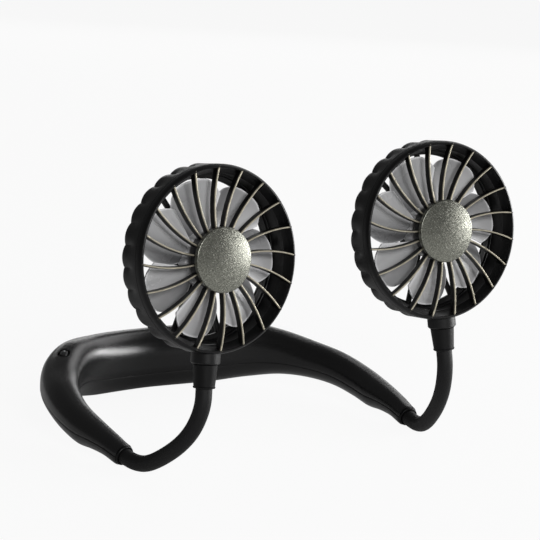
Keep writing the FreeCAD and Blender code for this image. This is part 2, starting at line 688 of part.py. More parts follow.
def make_front_cover(name, frame):
    """Front cover: hub, curved ribs, lip ring and the lugged spigot that twists into the fan ring."""
    body = new_body(f"{name}_front_cover")
    turn_outline(body, [("0", "cap_depth"), ("hub_radius", "cap_depth"), ("hub_radius", "hub_rear"),
                        ("0", "hub_rear")])
    rib = start_sketch(body, "XZ_Plane", "rib", lift="-rib_front", turn="rib_phase")
    root = "hub_radius - rib_width"
    tip = "lip_bore + lip_round"
    half = worth("rib_width") / 2
    centre = V(worth("rib_bow_radius"), worth("hub_radius"), 0)
    sweep = math.asin((worth(tip) - worth("hub_radius")) / worth("rib_bow_radius"))
    back = math.asin(worth("rib_width") / worth("rib_bow_radius"))
    for radius in (centre.x - half, centre.x + half):
        circle = Part.Circle(centre, Z_AXIS, radius)
        rib.addGeometry(Part.ArcOfCircle(circle, math.pi - sweep, math.pi + back), False)
    for edge, formula in ((0, "rib_bow_radius - rib_width / 2"), (1, "rib_bow_radius + rib_width / 2")):
        pin = rib.addConstraint(Sketcher.Constraint("Radius", edge, worth(formula)))
        rib.setExpression(f"Constraints[{pin}]", bound(formula))
        pin_point(rib, edge, 3, ("rib_bow_radius", "hub_radius"))
        for end, level in ((1, tip), (2, root)):
            pin = rib.addConstraint(Sketcher.Constraint("DistanceY", -1, 1, edge, end, worth(level)))
            rib.setExpression(f"Constraints[{pin}]", bound(level))
    for end in (1, 2):
        ends = [rib.getPoint(edge, end) for edge in (0, 1)]
        line = rib.addGeometry(Part.LineSegment(*ends), False)
        rib.addConstraint(Sketcher.Constraint("Coincident", line, 1, 0, end))
        rib.addConstraint(Sketcher.Constraint("Coincident", line, 2, 1, end))
    pad = body.newObject("PartDesign::Pad", "rib_bar")
    pad.Profile = rib
    pad.Reversed = True
    pad.setExpression("Length", bound("rib_depth"))
    round_pattern(body, pad, "rib_count")
    spigot = "rim_radius - rim_wall - fit_gap"
    spigot_bore = "rim_radius - rim_wall - fit_gap - cover_spigot_wall"
    turn_outline(body, [
        ("lip_bore", "lip_front + lip_round"), ("lip_bore + lip_round", "lip_front"),
        ("rim_radius - lip_shoulder", "lip_front"), ("rim_radius", "lip_front + lip_drop"),
        ("rim_radius", "seam_depth - seam_gap"), (spigot, "seam_depth - seam_gap"),
        (spigot, "cover_spigot_rear"), (spigot_bore, "cover_spigot_rear"),
        (spigot_bore, "rib_front + rib_depth"), ("lip_bore", "rib_front + rib_depth / 2"),
    ])
    inner = "rim_radius - rim_wall - fit_gap - cover_spigot_wall / 2"
    outer = "rim_radius - rim_wall + lug_height - fit_gap"
    front = "cover_spigot_rear - lug_depth"
    lug = turn_outline(body, [(inner, front), (outer, front), (outer, "cover_spigot_rear"),
                              (inner, "cover_spigot_rear")], angle="lug_angle", start="-lug_angle / 2")
    round_pattern(body, lug, "lug_count")
    keep(f"{name}_front_cover", body, frame)


def make_motor(name, frame):
    """Motor can, base, armature and shaft, with the two screws that hold the base in the rear cup."""
    hole = "shaft_radius + running_gap"
    turned_part(f"{name}_motor_can", [
        (hole, "motor_front"), ("motor_radius", "motor_front"), ("motor_radius", "motor_base_front"),
        ("motor_radius - motor_wall", "motor_base_front"),
        ("motor_radius - motor_wall", "motor_front + motor_wall"), (hole, "motor_front + motor_wall"),
    ], frame)
    base = new_body(f"{name}_motor_base")
    turn_outline(base, [
        (hole, "motor_base_front"), ("motor_radius", "motor_base_front"), ("motor_radius", "cup_seat"),
        ("0", "cup_seat"), ("0", "motor_base_front + shaft_tail"), (hole, "motor_base_front + shaft_tail"),
    ])
    holes = [cylinder(f"{name}_base_hole", "motor_screw_radius + running_gap",
                      "cup_seat - motor_base_front + overrun",
                      (place, "motor_base_front - overrun / 2", "0"), Y_AXIS)
             for place in ("-motor_screw_ring", "motor_screw_ring")]
    keep(f"{name}_motor_base", cut(f"{name}_drilled_base", base, join(f"{name}_base_holes", holes)), frame)
    turned_part(f"{name}_motor_armature", [
        (hole, "motor_front + motor_wall + armature_gap"),
        ("armature_radius", "motor_front + motor_wall + armature_gap"),
        ("armature_radius", "motor_base_front - armature_gap"), (hole, "motor_base_front - armature_gap"),
    ], frame)
    turned_part(f"{name}_motor_shaft", [
        ("0", "wheel_front + wheel_crown"), ("shaft_radius", "wheel_front + wheel_crown"),
        ("shaft_radius", "motor_base_front + shaft_tail - seam_gap"),
        ("0", "motor_base_front + shaft_tail - seam_gap"),
    ], frame)
    screws = []
    for place in (-size.motor_screw_ring, size.motor_screw_ring):
        seat = size.cup_seat + size.cup_base
        shank = Part.makeCylinder(size.motor_screw_radius, seat - size.motor_base_front,
                                  V(place, size.motor_base_front, 0), Y_AXIS)
        head = Part.makeCylinder(size.motor_screw_head_radius, size.motor_screw_head_height,
                                 V(place, seat, 0), Y_AXIS)
        screws.append(shank.fuse(head).removeSplitter())
    keep_shape(f"{name}_motor_screws", Part.makeCompound(screws), frame)


def make_rear_grille(name, frame):
    """Rear grille: motor cup, spokes and the ring that plugs into the fan ring."""
    body = new_body(f"{name}_grille")
    cup = "motor_radius + fit_gap"
    turn_outline(body, [
        (cup, "cup_front"), (f"{cup} + cup_wall", "cup_front"), (f"{cup} + cup_wall", "cup_seat + cup_base"),
        ("0", "cup_seat + cup_base"), ("0", "cup_seat"), (cup, "cup_seat"),
    ])
    spoke = start_sketch(body, "XZ_Plane", "spoke", lift="-rim_rear - seam_gap")
    root = "motor_radius + cup_wall"
    tip = "rim_radius - rim_wall - fit_gap"
    draw_outline(spoke, [("-spoke_width / 2", root), ("spoke_width / 2", root), ("spoke_width / 2", tip),
                         ("-spoke_width / 2", tip)])
    pad = body.newObject("PartDesign::Pad", "spoke_bar")
    pad.Profile = spoke
    pad.Reversed = True
    pad.setExpression("Length", bound("spoke_depth"))
    round_pattern(body, pad, "spoke_count")
    plug = "rim_radius - rim_wall - fit_gap"
    ring_bore = f"{plug} - grille_ring_wall"
    turn_outline(body, [
        (ring_bore, "rim_rear - grille_tuck"), (plug, "rim_rear - grille_tuck"), (plug, "rim_rear"),
        ("rim_radius - grille_flange_step", "rim_rear"),
        ("rim_radius - 2 * grille_flange_step", "rim_rear + grille_ring_depth"),
        (ring_bore, "rim_rear + grille_ring_depth"),
    ])
    holes = [cylinder(f"{name}_cup_hole", "motor_screw_radius + running_gap", "cup_base + overrun",
                      (place, "cup_seat - overrun / 2", "0"), Y_AXIS)
             for place in ("-motor_screw_ring", "motor_screw_ring")]
    keep(f"{name}_rear_grille", cut(f"{name}_drilled_grille", body, join(f"{name}_cup_holes", holes)), frame)


def blade_section(level, chord):
    """Cambered section of a blade, square to its length, at a distance from the fan axis."""
    front = size.wheel_front + size.blade_thickness
    rear = size.wheel_rear - size.blade_thickness
    bow = (front + rear) / 2 - size.blade_camber
    half = chord / 2
    low = [V(-half, rear, level), V(0, bow + size.blade_thickness, level), V(half, front, level)]
    high = [point - Y_AXIS * size.blade_thickness for point in low]
    edges = [Part.Arc(*low), Part.LineSegment(low[2], high[2]), Part.Arc(*reversed(high)),
             Part.LineSegment(high[0], low[0])]
    return Part.Wire([edge.toShape() for edge in edges])


def make_impeller(name, frame):
    """Impeller: a hub cup over the motor and twisted blades round it."""
    rear = size.wheel_rear - size.wheel_front
    hub_bore = size.wheel_hub_radius - size.wheel_hub_wall
    start = V(0, size.wheel_front, 0)
    inside = V(0, size.wheel_front + size.wheel_crown, 0)
    hub = Part.makeCylinder(size.wheel_hub_radius, rear, start, Y_AXIS)
    hub = hub.cut(Part.makeCylinder(hub_bore, rear, inside, Y_AXIS))
    boss = Part.makeCylinder(size.wheel_boss_radius, size.wheel_boss_length, inside, Y_AXIS)
    boss = boss.cut(Part.makeCylinder(size.shaft_radius + size.running_gap / 2, rear, inside, Y_AXIS))
    bar = Part.makeLoft([blade_section(size.wheel_hub_radius - size.wheel_hub_wall, size.blade_root_chord),
                         blade_section(size.wheel_radius, size.blade_tip_chord)], True, True)
    reach = size.wheel_rear + size.overrun
    ring = Part.makeCylinder(size.wheel_radius, reach, V(), Y_AXIS)
    ring = ring.cut(Part.makeCylinder(size.wheel_hub_radius - size.wheel_hub_wall / 2, reach, V(), Y_AXIS))
    blade = bar.common(ring)
    blades = []
    for index in range(int(size.blade_count)):
        copy = blade.copy()
        copy.rotate(V(), Y_AXIS, 360 * index / size.blade_count)
        blades.append(copy)
    keep_shape(f"{name}_impeller", hub.fuse([boss] + blades).removeSplitter(), frame)


def make_fan(name, side):
    """All the pieces of one fan."""
    frame = fan_frame(side)
    make_head_shell(name, frame)
    make_swivel_clip(name, frame)
    make_front_cover(name, frame)
    turned_part(f"{name}_cover_cap", [
        ("0", "0"), ("cap_land", "cap_dome"), ("cap_radius", "cap_edge"), ("cap_radius", "cap_depth"),
        ("0", "cap_depth"),
    ], frame)
    make_rear_grille(name, frame)
    make_motor(name, frame)
    make_impeller(name, frame)


make_shells()
make_shell_screws()
make_cells()
make_electronics()
make_band_wiring()
for arm_name, arm_side in SIDES.items():
    make_arm(arm_name, arm_side)
    make_fan(arm_name, arm_side)
doc.recompute()

faults = [item.Label for item in doc.Objects if {"Invalid", "Error"} & set(item.State)]
faults += [label for label, item in nodes.items() if item.Shape.isNull() or not item.Shape.isValid()]
if faults:
    raise RuntimeError(f"not sound: {', '.join(faults)}")
os.makedirs("parts", exist_ok=True)
for label, item in nodes.items():
    item.Shape.exportStep(os.path.join("parts", f"{label}.step"))
    print(f"{label}: {len(item.Shape.Solids)} solids, {item.Shape.Volume:.1f} mm3")
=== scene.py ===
"""Looks of an electric neck fan: moulded band, two rubber arms and two caged fans, around its solids.

Lengths are in metres in the frame of the solids: +Z up, +Y to the back of the band, the covers facing -Y.
A turned piece is drawn in a frame of its own, with Z along its axis, and is then put in its place.
"""
import json
import logging
import math
from collections.abc import Callable
from dataclasses import dataclass
from enum import Enum

import bmesh
import bpy
from mathutils import Matrix, Vector


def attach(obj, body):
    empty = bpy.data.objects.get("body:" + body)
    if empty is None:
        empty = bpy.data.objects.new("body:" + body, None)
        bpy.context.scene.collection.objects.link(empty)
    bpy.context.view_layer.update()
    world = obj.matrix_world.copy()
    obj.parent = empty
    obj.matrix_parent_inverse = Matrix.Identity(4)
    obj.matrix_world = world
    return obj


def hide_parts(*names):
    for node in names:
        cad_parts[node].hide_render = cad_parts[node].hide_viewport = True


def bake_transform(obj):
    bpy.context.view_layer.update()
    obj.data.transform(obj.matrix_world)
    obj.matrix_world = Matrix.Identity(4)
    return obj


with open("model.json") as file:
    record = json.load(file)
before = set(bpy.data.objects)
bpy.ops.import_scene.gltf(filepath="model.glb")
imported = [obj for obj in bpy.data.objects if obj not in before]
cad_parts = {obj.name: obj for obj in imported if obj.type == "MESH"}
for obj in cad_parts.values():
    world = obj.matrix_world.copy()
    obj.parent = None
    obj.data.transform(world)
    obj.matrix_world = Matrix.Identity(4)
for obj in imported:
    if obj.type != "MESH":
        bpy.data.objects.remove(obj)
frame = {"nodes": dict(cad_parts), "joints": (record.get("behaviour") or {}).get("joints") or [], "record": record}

log = logging.getLogger("neck_fan")
Colour = tuple[float, float, float]
Pair = tuple[float, float]
Outline = list[Pair]
FULL_TURN = 2 * math.pi
MERGE = 1e-6
SHARP_TURN = 0.6
WHITE = (1, 1, 1, 1)


class Side(Enum):
    """The two sides, as the covers are seen from the front."""

    LEFT = "left"
    RIGHT = "right"


class Shell(Enum):
    """The two shells of the band, by the way in which they leave their parting."""

    UPPER = 1
    LOWER = -1


class Socket:
    """Output socket of a shader node that takes part in Python arithmetic."""

    def __init__(self, graph: "Graph", output: bpy.types.NodeSocket) -> None:
        """Keep the socket and the graph that it belongs to."""
        self.graph = graph
        self.output = output

    def _math(self, operation: str, first: "Socket | float", second: "Socket | float") -> "Socket":
        """Add one Math node."""
        return self.graph.node("ShaderNodeMath", {"operation": operation}, {0: first, 1: second})

    def __add__(self, other: "Socket | float") -> "Socket":
        """Sum."""
        return self._math("ADD", self, other)

    def __sub__(self, other: "Socket | float") -> "Socket":
        """Difference."""
        return self._math("SUBTRACT", self, other)

    def __rsub__(self, other: float) -> "Socket":
        """Difference from a number."""
        return self._math("SUBTRACT", other, self)

    def __mul__(self, other: "Socket | float") -> "Socket":
        """Product."""
        return self._math("MULTIPLY", self, other)

    __radd__ = __add__
    __rmul__ = __mul__

    def over(self, low: float, high: float) -> "Socket":
        """Smooth step from 0 at a low value to 1 at a high one."""
        inputs = {"Value": self, "From Min": low, "From Max": high}
        return self.graph.node("ShaderNodeMapRange", {"interpolation_type": "SMOOTHSTEP"}, inputs)

    def larger(self, other: "Socket | float") -> "Socket":
        """Larger of two values."""
        return self._math("MAXIMUM", self, other)


class Graph:
    """Node tree of one material or world."""

    def __init__(self, tree: bpy.types.NodeTree) -> None:
        """Start from an empty tree."""
        self.tree = tree
        tree.nodes.clear()

    def node(self, kind: str, settings: dict | None = None, inputs: dict | None = None,
             output: int | str = 0) -> Socket | None:
        """Add a node.

        Args:
            kind: Type of the node.
            settings: Properties, which are set first.
            inputs: Values or sockets by input name or place.
            output: Output to give back.

        Returns:
            The chosen output socket, or nothing for a node that closes the tree.
        """
        made = self.tree.nodes.new(kind)
        for name, value in (settings or {}).items():
            setattr(made, name, value)
        for name, value in (inputs or {}).items():
            if isinstance(value, Socket):
                self.tree.links.new(value.output, made.inputs[name])
            else:
                made.inputs[name].default_value = value
        return Socket(self, made.outputs[output]) if made.outputs else None

    def object_point(self) -> Socket:
        """Point on the piece in the frame of the solids."""
        return self.node("ShaderNodeTexCoord", output="Object")

    def noise(self, scale: float, detail: float = 2, roughness: float = 0.5) -> Socket:
        """Noise value over the piece, of so many waves per metre."""
        inputs = {"Vector": self.object_point(), "Scale": scale, "Detail": detail, "Roughness": roughness}
        return self.node("ShaderNodeTexNoise", None, inputs, "Fac")

    def cells(self, scale: float, output: str = "Distance") -> Socket:
        """Voronoi cells over the piece."""
        inputs = {"Vector": self.object_point(), "Scale": scale}
        return self.node("ShaderNodeTexVoronoi", None, inputs, output)

    def attribute(self, name: str) -> Socket:
        """Value painted on the mesh."""
        return self.node("ShaderNodeAttribute", {"attribute_name": name}, None, "Fac")

    def mix(self, share: Socket, first: "Colour | Socket", second: "Colour | Socket") -> Socket:
        """Colour between two colours."""
        ends = [end if isinstance(end, Socket) else (*end, 1) for end in (first, second)]
        return self.node("ShaderNodeMix", {"data_type": "RGBA"}, {0: share, 6: ends[0], 7: ends[1]}, 2)

    def bump(self, height: Socket, distance: float) -> Socket:
        """Normal bent by a height."""
        return self.node("ShaderNodeBump", None, {"Height": height, "Distance": distance, "Strength": 1})

    def surface(self, inputs: dict) -> None:
        """Close the tree with a Principled shader of these values or sockets."""
        shader = self.node("ShaderNodeBsdfPrincipled", None, inputs)
        self.node("ShaderNodeOutputMaterial", None, {"Surface": shader})


def new_graph(name: str) -> tuple[bpy.types.Material, Graph]:
    """Material with an empty tree.

    Args:
        name: Name of the material.

    Returns:
        The material and its graph.
    """
    material = bpy.data.materials.new(name)
    material.use_nodes = True
    return material, Graph(material.node_tree)


@dataclass(frozen=True)
class MouldedPlastic:
    """Spark-grained moulded plastic with faint flow marks and specks."""

    name: str
    colour: Colour
    haze: Colour
    roughness: float = 0.38
    specular: float = 0.4
    flow_scale: float = 38
    flow_limits: Pair = (0.3, 0.75)
    flow_share: float = 0.7
    flow_rough: float = 0.1
    grain_scale: float = 5200
    grain_depth: float = 0.00003
    grain_rough: float = 0.08
    speck_scale: float = 900
    speck_radius: float = 0.1

    def material(self) -> bpy.types.Material:
        """Make the material."""
        material, graph = new_graph(self.name)
        flow = graph.noise(self.flow_scale, 3)
        grain = graph.noise(self.grain_scale, 2, 0.6)
        specks = graph.cells(self.speck_scale).over(self.speck_radius, 0)
        haze = flow.over(*self.flow_limits) * self.flow_share + specks * (1 - self.flow_share)
        base = self.roughness - (self.flow_rough + self.grain_rough) / 2
        graph.surface({
            "Base Color": graph.mix(haze, self.colour, self.haze),
            "Roughness": flow * self.flow_rough + grain * self.grain_rough + base,
            "Specular IOR Level": self.specular,
            "Normal": graph.bump(grain, self.grain_depth),
        })
        return material


@dataclass(frozen=True)
class RibbedCover:
    """Black cover plastic with a painted highlight: a pale metallic line painted along the front edges of its
    ribs.
    """

    name: str
    colour: Colour
    painted_highlight_colour: Colour
    roughness: float = 0.36
    specular: float = 0.26
    grain_scale: float = 5200
    grain_depth: float = 0.00003
    grain_rough: float = 0.08
    patch_scale: float = 420
    patch_limits: Pair = (0.2, 0.75)
    patch_share: float = 0.38
    highlight_metallic: float = 0.55

    def material(self) -> bpy.types.Material:
        """Make the material."""
        material, graph = new_graph(self.name)
        grain = graph.noise(self.grain_scale, 2, 0.6)
        patchy = graph.noise(self.patch_scale, 2).over(*self.patch_limits)
        # Painted highlight: pale metallic colour laid on the rib noses, broken up a little by noise.
        edge = graph.attribute("nose_highlight") * ((1 - self.patch_share) + patchy * self.patch_share)
        graph.surface({
            "Base Color": graph.mix(edge, self.colour, self.painted_highlight_colour),
            "Metallic": edge * self.highlight_metallic,
            "Roughness": grain * self.grain_rough + (self.roughness - self.grain_rough / 2),
            "Specular IOR Level": self.specular,
            "Normal": graph.bump(grain, self.grain_depth),
        })
        return material


@dataclass(frozen=True)
class FlakePaint:
    """Dark metallic paint full of fine bright flakes."""

    name: str
    colour: Colour
    flake_colour: Colour
    roughness: float = 0.28
    metallic: float = 0.88
    flake_scale: float = 3600
    flake_limits: Pair = (0.35, 1)
    flake_share: float = 0.3
    flake_metallic: float = 0.1
    flake_polish: float = 0.08
    flake_height: float = 0.5
    coarse_scale: float = 2300
    coarse_limits: Pair = (0.36, 0.68)
    coarse_share: float = 0.26
    coarse_rough: float = 0.06
    depth: float = 0.000016

    def material(self) -> bpy.types.Material:
        """Make the material."""
        material, graph = new_graph(self.name)
        fine = graph.cells(self.flake_scale, "Color")
        flake = graph.node("ShaderNodeSeparateColor", None, {"Color": fine}).over(*self.flake_limits)
        coarse = graph.noise(self.coarse_scale, 2, 0.6).over(*self.coarse_limits)
        glint = flake * self.flake_share + coarse * self.coarse_share
        graph.surface({
            "Base Color": graph.mix(glint, self.colour, self.flake_colour),
            "Metallic": self.metallic + flake * self.flake_metallic,
            "Roughness": self.roughness - flake * self.flake_polish + coarse * self.coarse_rough,
            "Normal": graph.bump(coarse + flake * self.flake_height, self.depth),
        })
        return material


@dataclass(frozen=True)
class FrostedPlastic:
    """Cloudy pale plastic, darkened by painted shade and lightened by painted highlights, both read from values
    painted on the mesh.
    """

    name: str
    colour: Colour
    painted_shade_colour: Colour
    painted_highlight_colour: Colour
    roughness: float = 0.26
    specular: float = 0.5
    clearness: float = 0.12
    painted_shade_share: float = 0.7
    cloud_scale: float = 95
    cloud_share: float = 0.5
    cloud_rough: float = 0.12
    grain_scale: float = 3000
    grain_depth: float = 0.00001

    def material(self) -> bpy.types.Material:
        """Make the material."""
        material, graph = new_graph(self.name)
        cloud = graph.noise(self.cloud_scale, 3)
        grain = graph.noise(self.grain_scale, 2)
        # Painted shade, made a little cloudy, from the value painted as "thick".
        thick = graph.attribute("thick") * (self.painted_shade_share + cloud * self.cloud_share)
        body = graph.mix(thick, self.colour, self.painted_shade_colour)
        graph.surface({
            # Painted highlight from the value painted as "edge".
            "Base Color": graph.mix(graph.attribute("edge"), body, self.painted_highlight_colour),
            "Roughness": cloud * self.cloud_rough + (self.roughness - self.cloud_rough / 2),
            "Specular IOR Level": self.specular,
            "Transmission Weight": self.clearness,
            "Normal": graph.bump(grain, self.grain_depth),
        })
        return material


@dataclass(frozen=True)
class SoftRubber:
    """Matte rubber with fine pores and a faint bloom."""

    name: str
    colour: Colour
    haze: Colour
    roughness: float = 0.56
    specular: float = 0.25
    pore_scale: float = 3400
    pore_depth: float = 0.00005
    pore_rough: float = 0.1
    bloom_scale: float = 70
    bloom_limits: Pair = (0.3, 0.8)
    bloom_rough: float = 0.08

    def material(self) -> bpy.types.Material:
        """Make the material."""
        material, graph = new_graph(self.name)
        pores = graph.noise(self.pore_scale, 3, 0.65)
        bloom = graph.noise(self.bloom_scale, 3)
        base = self.roughness - (self.pore_rough + self.bloom_rough) / 2
        graph.surface({
            "Base Color": graph.mix(bloom.over(*self.bloom_limits), self.colour, self.haze),
            "Roughness": pores * self.pore_rough + bloom * self.bloom_rough + base,
            "Specular IOR Level": self.specular,
            "Normal": graph.bump(pores, self.pore_depth),
        })
        return material


@dataclass(frozen=True)
class BrightMetal:
    """Plated, drawn or lacquered sheet and wire with fine scratches."""

    name: str
    colour: Colour
    dull: Colour
    roughness: float = 0.3
    metallic: float = 1.0
    stain_scale: float = 260
    stain_limits: Pair = (0.35, 0.8)
    stain_rough: float = 0.1
    scratch_scale: float = 4200
    scratch_depth: float = 0.00002
    scratch_rough: float = 0.16

    def material(self) -> bpy.types.Material:
        """Make the material."""
        material, graph = new_graph(self.name)
        stain = graph.noise(self.stain_scale, 3)
        scratch = graph.noise(self.scratch_scale, 2, 0.7)
        base = self.roughness - (self.scratch_rough + self.stain_rough) / 2
        graph.surface({
            "Base Color": graph.mix(stain.over(*self.stain_limits), self.colour, self.dull),
            "Metallic": self.metallic,
            "Roughness": scratch * self.scratch_rough + stain * self.stain_rough + base,
            "Normal": graph.bump(scratch, self.scratch_depth),
        })
        return material


@dataclass(frozen=True)
class LightLens:
    """Small white lens of the button's light."""

    name: str
    colour: Colour
    haze: Colour
    roughness: float = 0.12
    coat: float = 0.5
    cloud_scale: float = 2400
    cloud_rough: float = 0.1

    def material(self) -> bpy.types.Material:
        """Make the material."""
        material, graph = new_graph(self.name)
        cloud = graph.noise(self.cloud_scale, 2)
        graph.surface({
            "Base Color": graph.mix(cloud, self.colour, self.haze),
            "Roughness": cloud * self.cloud_rough + self.roughness,
            "Coat Weight": self.coat,
        })
        return material


SHELL = MouldedPlastic("satin_black_shell", (0.0034, 0.0034, 0.0036), (0.0052, 0.0052, 0.0055), 0.25, 0.45)
FAN_BLACK = MouldedPlastic("fan_ring_black", (0.0026, 0.0026, 0.0028), (0.0042, 0.0042, 0.0043), 0.36, 0.3)
COLLAR_BLACK = MouldedPlastic("collar_black", (0.002, 0.002, 0.0022), (0.0034, 0.0034, 0.0036), 0.4, 0.2)
BUTTON_BLACK = MouldedPlastic("button_black", (0.0026, 0.0026, 0.0028), (0.004, 0.004, 0.004), 0.28, 0.35)
DARK_FITTING = MouldedPlastic("fitting_black", (0.012, 0.012, 0.012), (0.018, 0.018, 0.018), 0.5)
# Black cover; its second colour is the painted highlight on the rib noses.
COVER_BLACK = RibbedCover("ribbed_cover_black", (0.0026, 0.0026, 0.0028), (0.5, 0.46, 0.36))
CAP_GRAPHITE = FlakePaint("cap_graphite_flake", (0.105, 0.107, 0.09), (0.4, 0.4, 0.35))
# Blade grey, then the colour of its painted shade and the colour of its painted highlights.
BLADE_GREY = FrostedPlastic("blade_grey", (0.52, 0.52, 0.525), (0.17, 0.17, 0.175), (0.9, 0.9, 0.91))
HOSE_BLACK = SoftRubber("hose_rubber_black", (0.0045, 0.0045, 0.0048), (0.0075, 0.0075, 0.0078))
WIRE_RED = SoftRubber("wire_cover_red", (0.35, 0.02, 0.015), (0.42, 0.04, 0.03), 0.4)
SCREW_STEEL = BrightMetal("plated_steel", (0.56, 0.56, 0.57), (0.4, 0.4, 0.4))
CORE_METAL = BrightMetal("drawn_aluminium", (0.66, 0.66, 0.68), (0.5, 0.5, 0.51))
CELL_FOIL = BrightMetal("cell_foil", (0.62, 0.63, 0.66), (0.5, 0.5, 0.52), 0.24)
COPPER = BrightMetal("enamelled_copper", (0.6, 0.25, 0.1), (0.42, 0.15, 0.06), 0.32)
BOARD_GREEN = BrightMetal("lacquered_board", (0.012, 0.11, 0.035), (0.02, 0.16, 0.05), 0.35, 0.0)
LENS_WHITE = LightLens("light_lens_white", (0.9, 0.92, 0.95), (0.75, 0.77, 0.8))


class Paints:
    """Materials by finish, each made once."""

    def __init__(self) -> None:
        """Start with none."""
        self.made: dict = {}

    def of(self, finish: object) -> bpy.types.Material:
        """Material of a finish."""
        if finish not in self.made:
            self.made[finish] = finish.material()
        return self.made[finish]


class Blank:
    """Mesh in the making, with the few operators that shape it."""

    def __init__(self) -> None:
        """Start empty."""
        self.bm = bmesh.new()

    def turn(self, outline: Outline, steps: int, closed: bool = True) -> list[bmesh.types.BMVert]:
        """Turn an outline of radius and height about Z.

        Args:
            outline: Points from one end to the other.
            steps: Steps of the full turn.
            closed: Whether the last point joins the first.

        Returns:
            The new vertices.
        """
        before = set(self.bm.verts)
        points = [self.bm.verts.new((radius, 0, height)) for radius, height in outline]
        pairs = list(zip(points, points[1:]))
        if closed:
            pairs.append((points[-1], points[0]))
        edges = [self.bm.edges.new(pair) for pair in pairs]
        bmesh.ops.spin(self.bm, geom=points + edges, cent=(0, 0, 0), axis=(0, 0, 1), angle=FULL_TURN,
                       steps=steps, use_merge=True)
        made = [vert for vert in self.bm.verts if vert not in before]
        bmesh.ops.remove_doubles(self.bm, verts=made, dist=MERGE)
        return [vert for vert in self.bm.verts if vert not in before]

    def sweep(self, section: list[Vector], centre: Vector, angle: float,
              steps: int) -> list[bmesh.types.BMVert]:
        """Bar of a closed section swept through an angle about an upright axis, with both ends closed.

        Args:
            section: Corners of the section at the start.
            centre: Point on the axis.
            angle: Angle of the sweep.
            steps: Steps along it.

        Returns:
            The new vertices.
        """
        before = set(self.bm.verts)
        points = [self.bm.verts.new(point) for point in section]
        edges = [self.bm.edges.new((points[place - 1], points[place])) for place in range(len(points))]
        swept = bmesh.ops.spin(self.bm, geom=points + edges, cent=centre, axis=(0, 0, 1), angle=angle,
                               steps=steps)
        last = [edge for edge in swept["geom_last"] if isinstance(edge, bmesh.types.BMEdge)]
        for loop in (edges, last):
            bmesh.ops.edgeloop_fill(self.bm, edges=loop)
        return [vert for vert in self.bm.verts if vert not in before]

    def bar(self, size: Vector, middle: Vector) -> list[bmesh.types.BMVert]:
        """Block about a middle point.

        Args:
            size: Lengths of its sides.
            middle: Its middle.

        Returns:
            Its vertices.
        """
        made = bmesh.ops.create_cube(self.bm, size=1)["verts"]
        bmesh.ops.scale(self.bm, vec=size, verts=made)
        bmesh.ops.translate(self.bm, vec=middle, verts=made)
        return made

    def around(self, verts: list[bmesh.types.BMVert], count: int) -> None:
        """Repeat a shape round Z.

        Args:
            verts: Vertices of the first copy.
            count: Copies in all.
        """
        geom = list({face for vert in verts for face in vert.link_faces})
        for place in range(1, count):
            copy = bmesh.ops.duplicate(self.bm, geom=geom)["geom"]
            moved = [item for item in copy if isinstance(item, bmesh.types.BMVert)]
            spin = Matrix.Rotation(FULL_TURN * place / count, 3, "Z")
            bmesh.ops.rotate(self.bm, cent=(0, 0, 0), matrix=spin, verts=moved)

    def round_edges(self, width: float, segments: int, verts: list[bmesh.types.BMVert]) -> None:
        """Round the sharp edges of a shape.

        Args:
            width: Width of the rounding.
            segments: Steps of the rounding.
            verts: Vertices of the shape.
        """
        self.bm.normal_update()
        chosen = set(verts)
        sharp = [edge for edge in self.bm.edges if len(edge.link_faces) == 2
                 and edge.calc_face_angle(0) > SHARP_TURN and chosen.issuperset(edge.verts)]
        bmesh.ops.bevel(self.bm, geom=sharp, offset=width, offset_type="OFFSET", affect="EDGES",
                        segments=segments, profile=0.5, material=-1, clamp_overlap=True)

    def paint(self, name: str, share: Callable[[Vector], float]) -> None:
        """Write a value at each vertex.

        Args:
            name: Name of the attribute.
            share: Gives the value at a point.
        """
        layer = self.bm.verts.layers.float.new(name)
        for vert in self.bm.verts:
            vert[layer] = share(vert.co)

    def finish(self, name: str, place: Matrix, materials: list[bpy.types.Material],
               smooth_angle: float = SHARP_TURN) -> bpy.types.Object:
        """Turn the blank into a piece.

        Args:
            name: Name of the piece.
            place: Where its own frame lies in the frame of the solids.
            materials: Materials of its slots.
            smooth_angle: Largest turn of an edge that is shaded smooth.

        Returns:
            The piece, at the origin with its place in its mesh.
        """
        bmesh.ops.recalc_face_normals(self.bm, faces=self.bm.faces)
        self.bm.transform(place)
        mesh = bpy.data.meshes.new(name)
        self.bm.to_mesh(mesh)
        self.bm.free()
        mesh.shade_smooth()
        mesh.set_sharp_from_angle(angle=smooth_angle)
        for material in materials:
            mesh.materials.append(material)
        piece = bpy.data.objects.new(name, mesh)
        bpy.context.scene.collection.objects.link(piece)
        log.info("%s: %d faces", name, len(mesh.polygons))
        return piece


def joint(name: str) -> dict:
    """Joint of the frame by name."""
    return next(item for item in frame["joints"] if item["name"] == name)


def axis_place(origin: Vector, axis: Vector, upward: Vector) -> Matrix:
    """Frame with Z along an axis and X as near as it can be to an upward direction.

    Args:
        origin: Origin of the frame.
        axis: Direction of Z.
        upward: Direction that X leans to.

    Returns:
        Matrix from that frame to the frame of the solids.
    """
    depth = axis.normalized()
    across = depth.cross(upward).normalized()
    place = Matrix((across.cross(depth), across, depth)).transposed().to_4x4()
    place.translation = origin
    return place


def settle(piece: bpy.types.Object, body: str, node: str) -> None:
    """Let a piece ride on a body in place of a solid.

    Args:
        piece: The piece.
        body: Body that carries it.
        node: Solid that it stands for.
    """
    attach(piece, body)
    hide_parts(node)


def dress(node: str, material: bpy.types.Material) -> None:
    """Give a solid its material.

    Args:
        node: Name of the solid.
        material: Its material.
    """
    mesh = frame["nodes"][node].data
    mesh.materials.clear()
    mesh.materials.append(material)
    log.info("%s dressed in %s", node, material.name)


def smooth(low: float, high: float, value: float) -> float:
    """Smooth step from 0 to 1 between two values."""
    share = min(max((value - low) / (high - low), 0), 1)
    return share * share * (3 - 2 * share)


def draw_in(vert: bmesh.types.BMVert, share: float) -> None:
    """Move a vertex towards the Z axis, to a share of its radius."""
    vert.co.x *= share
    vert.co.y *= share


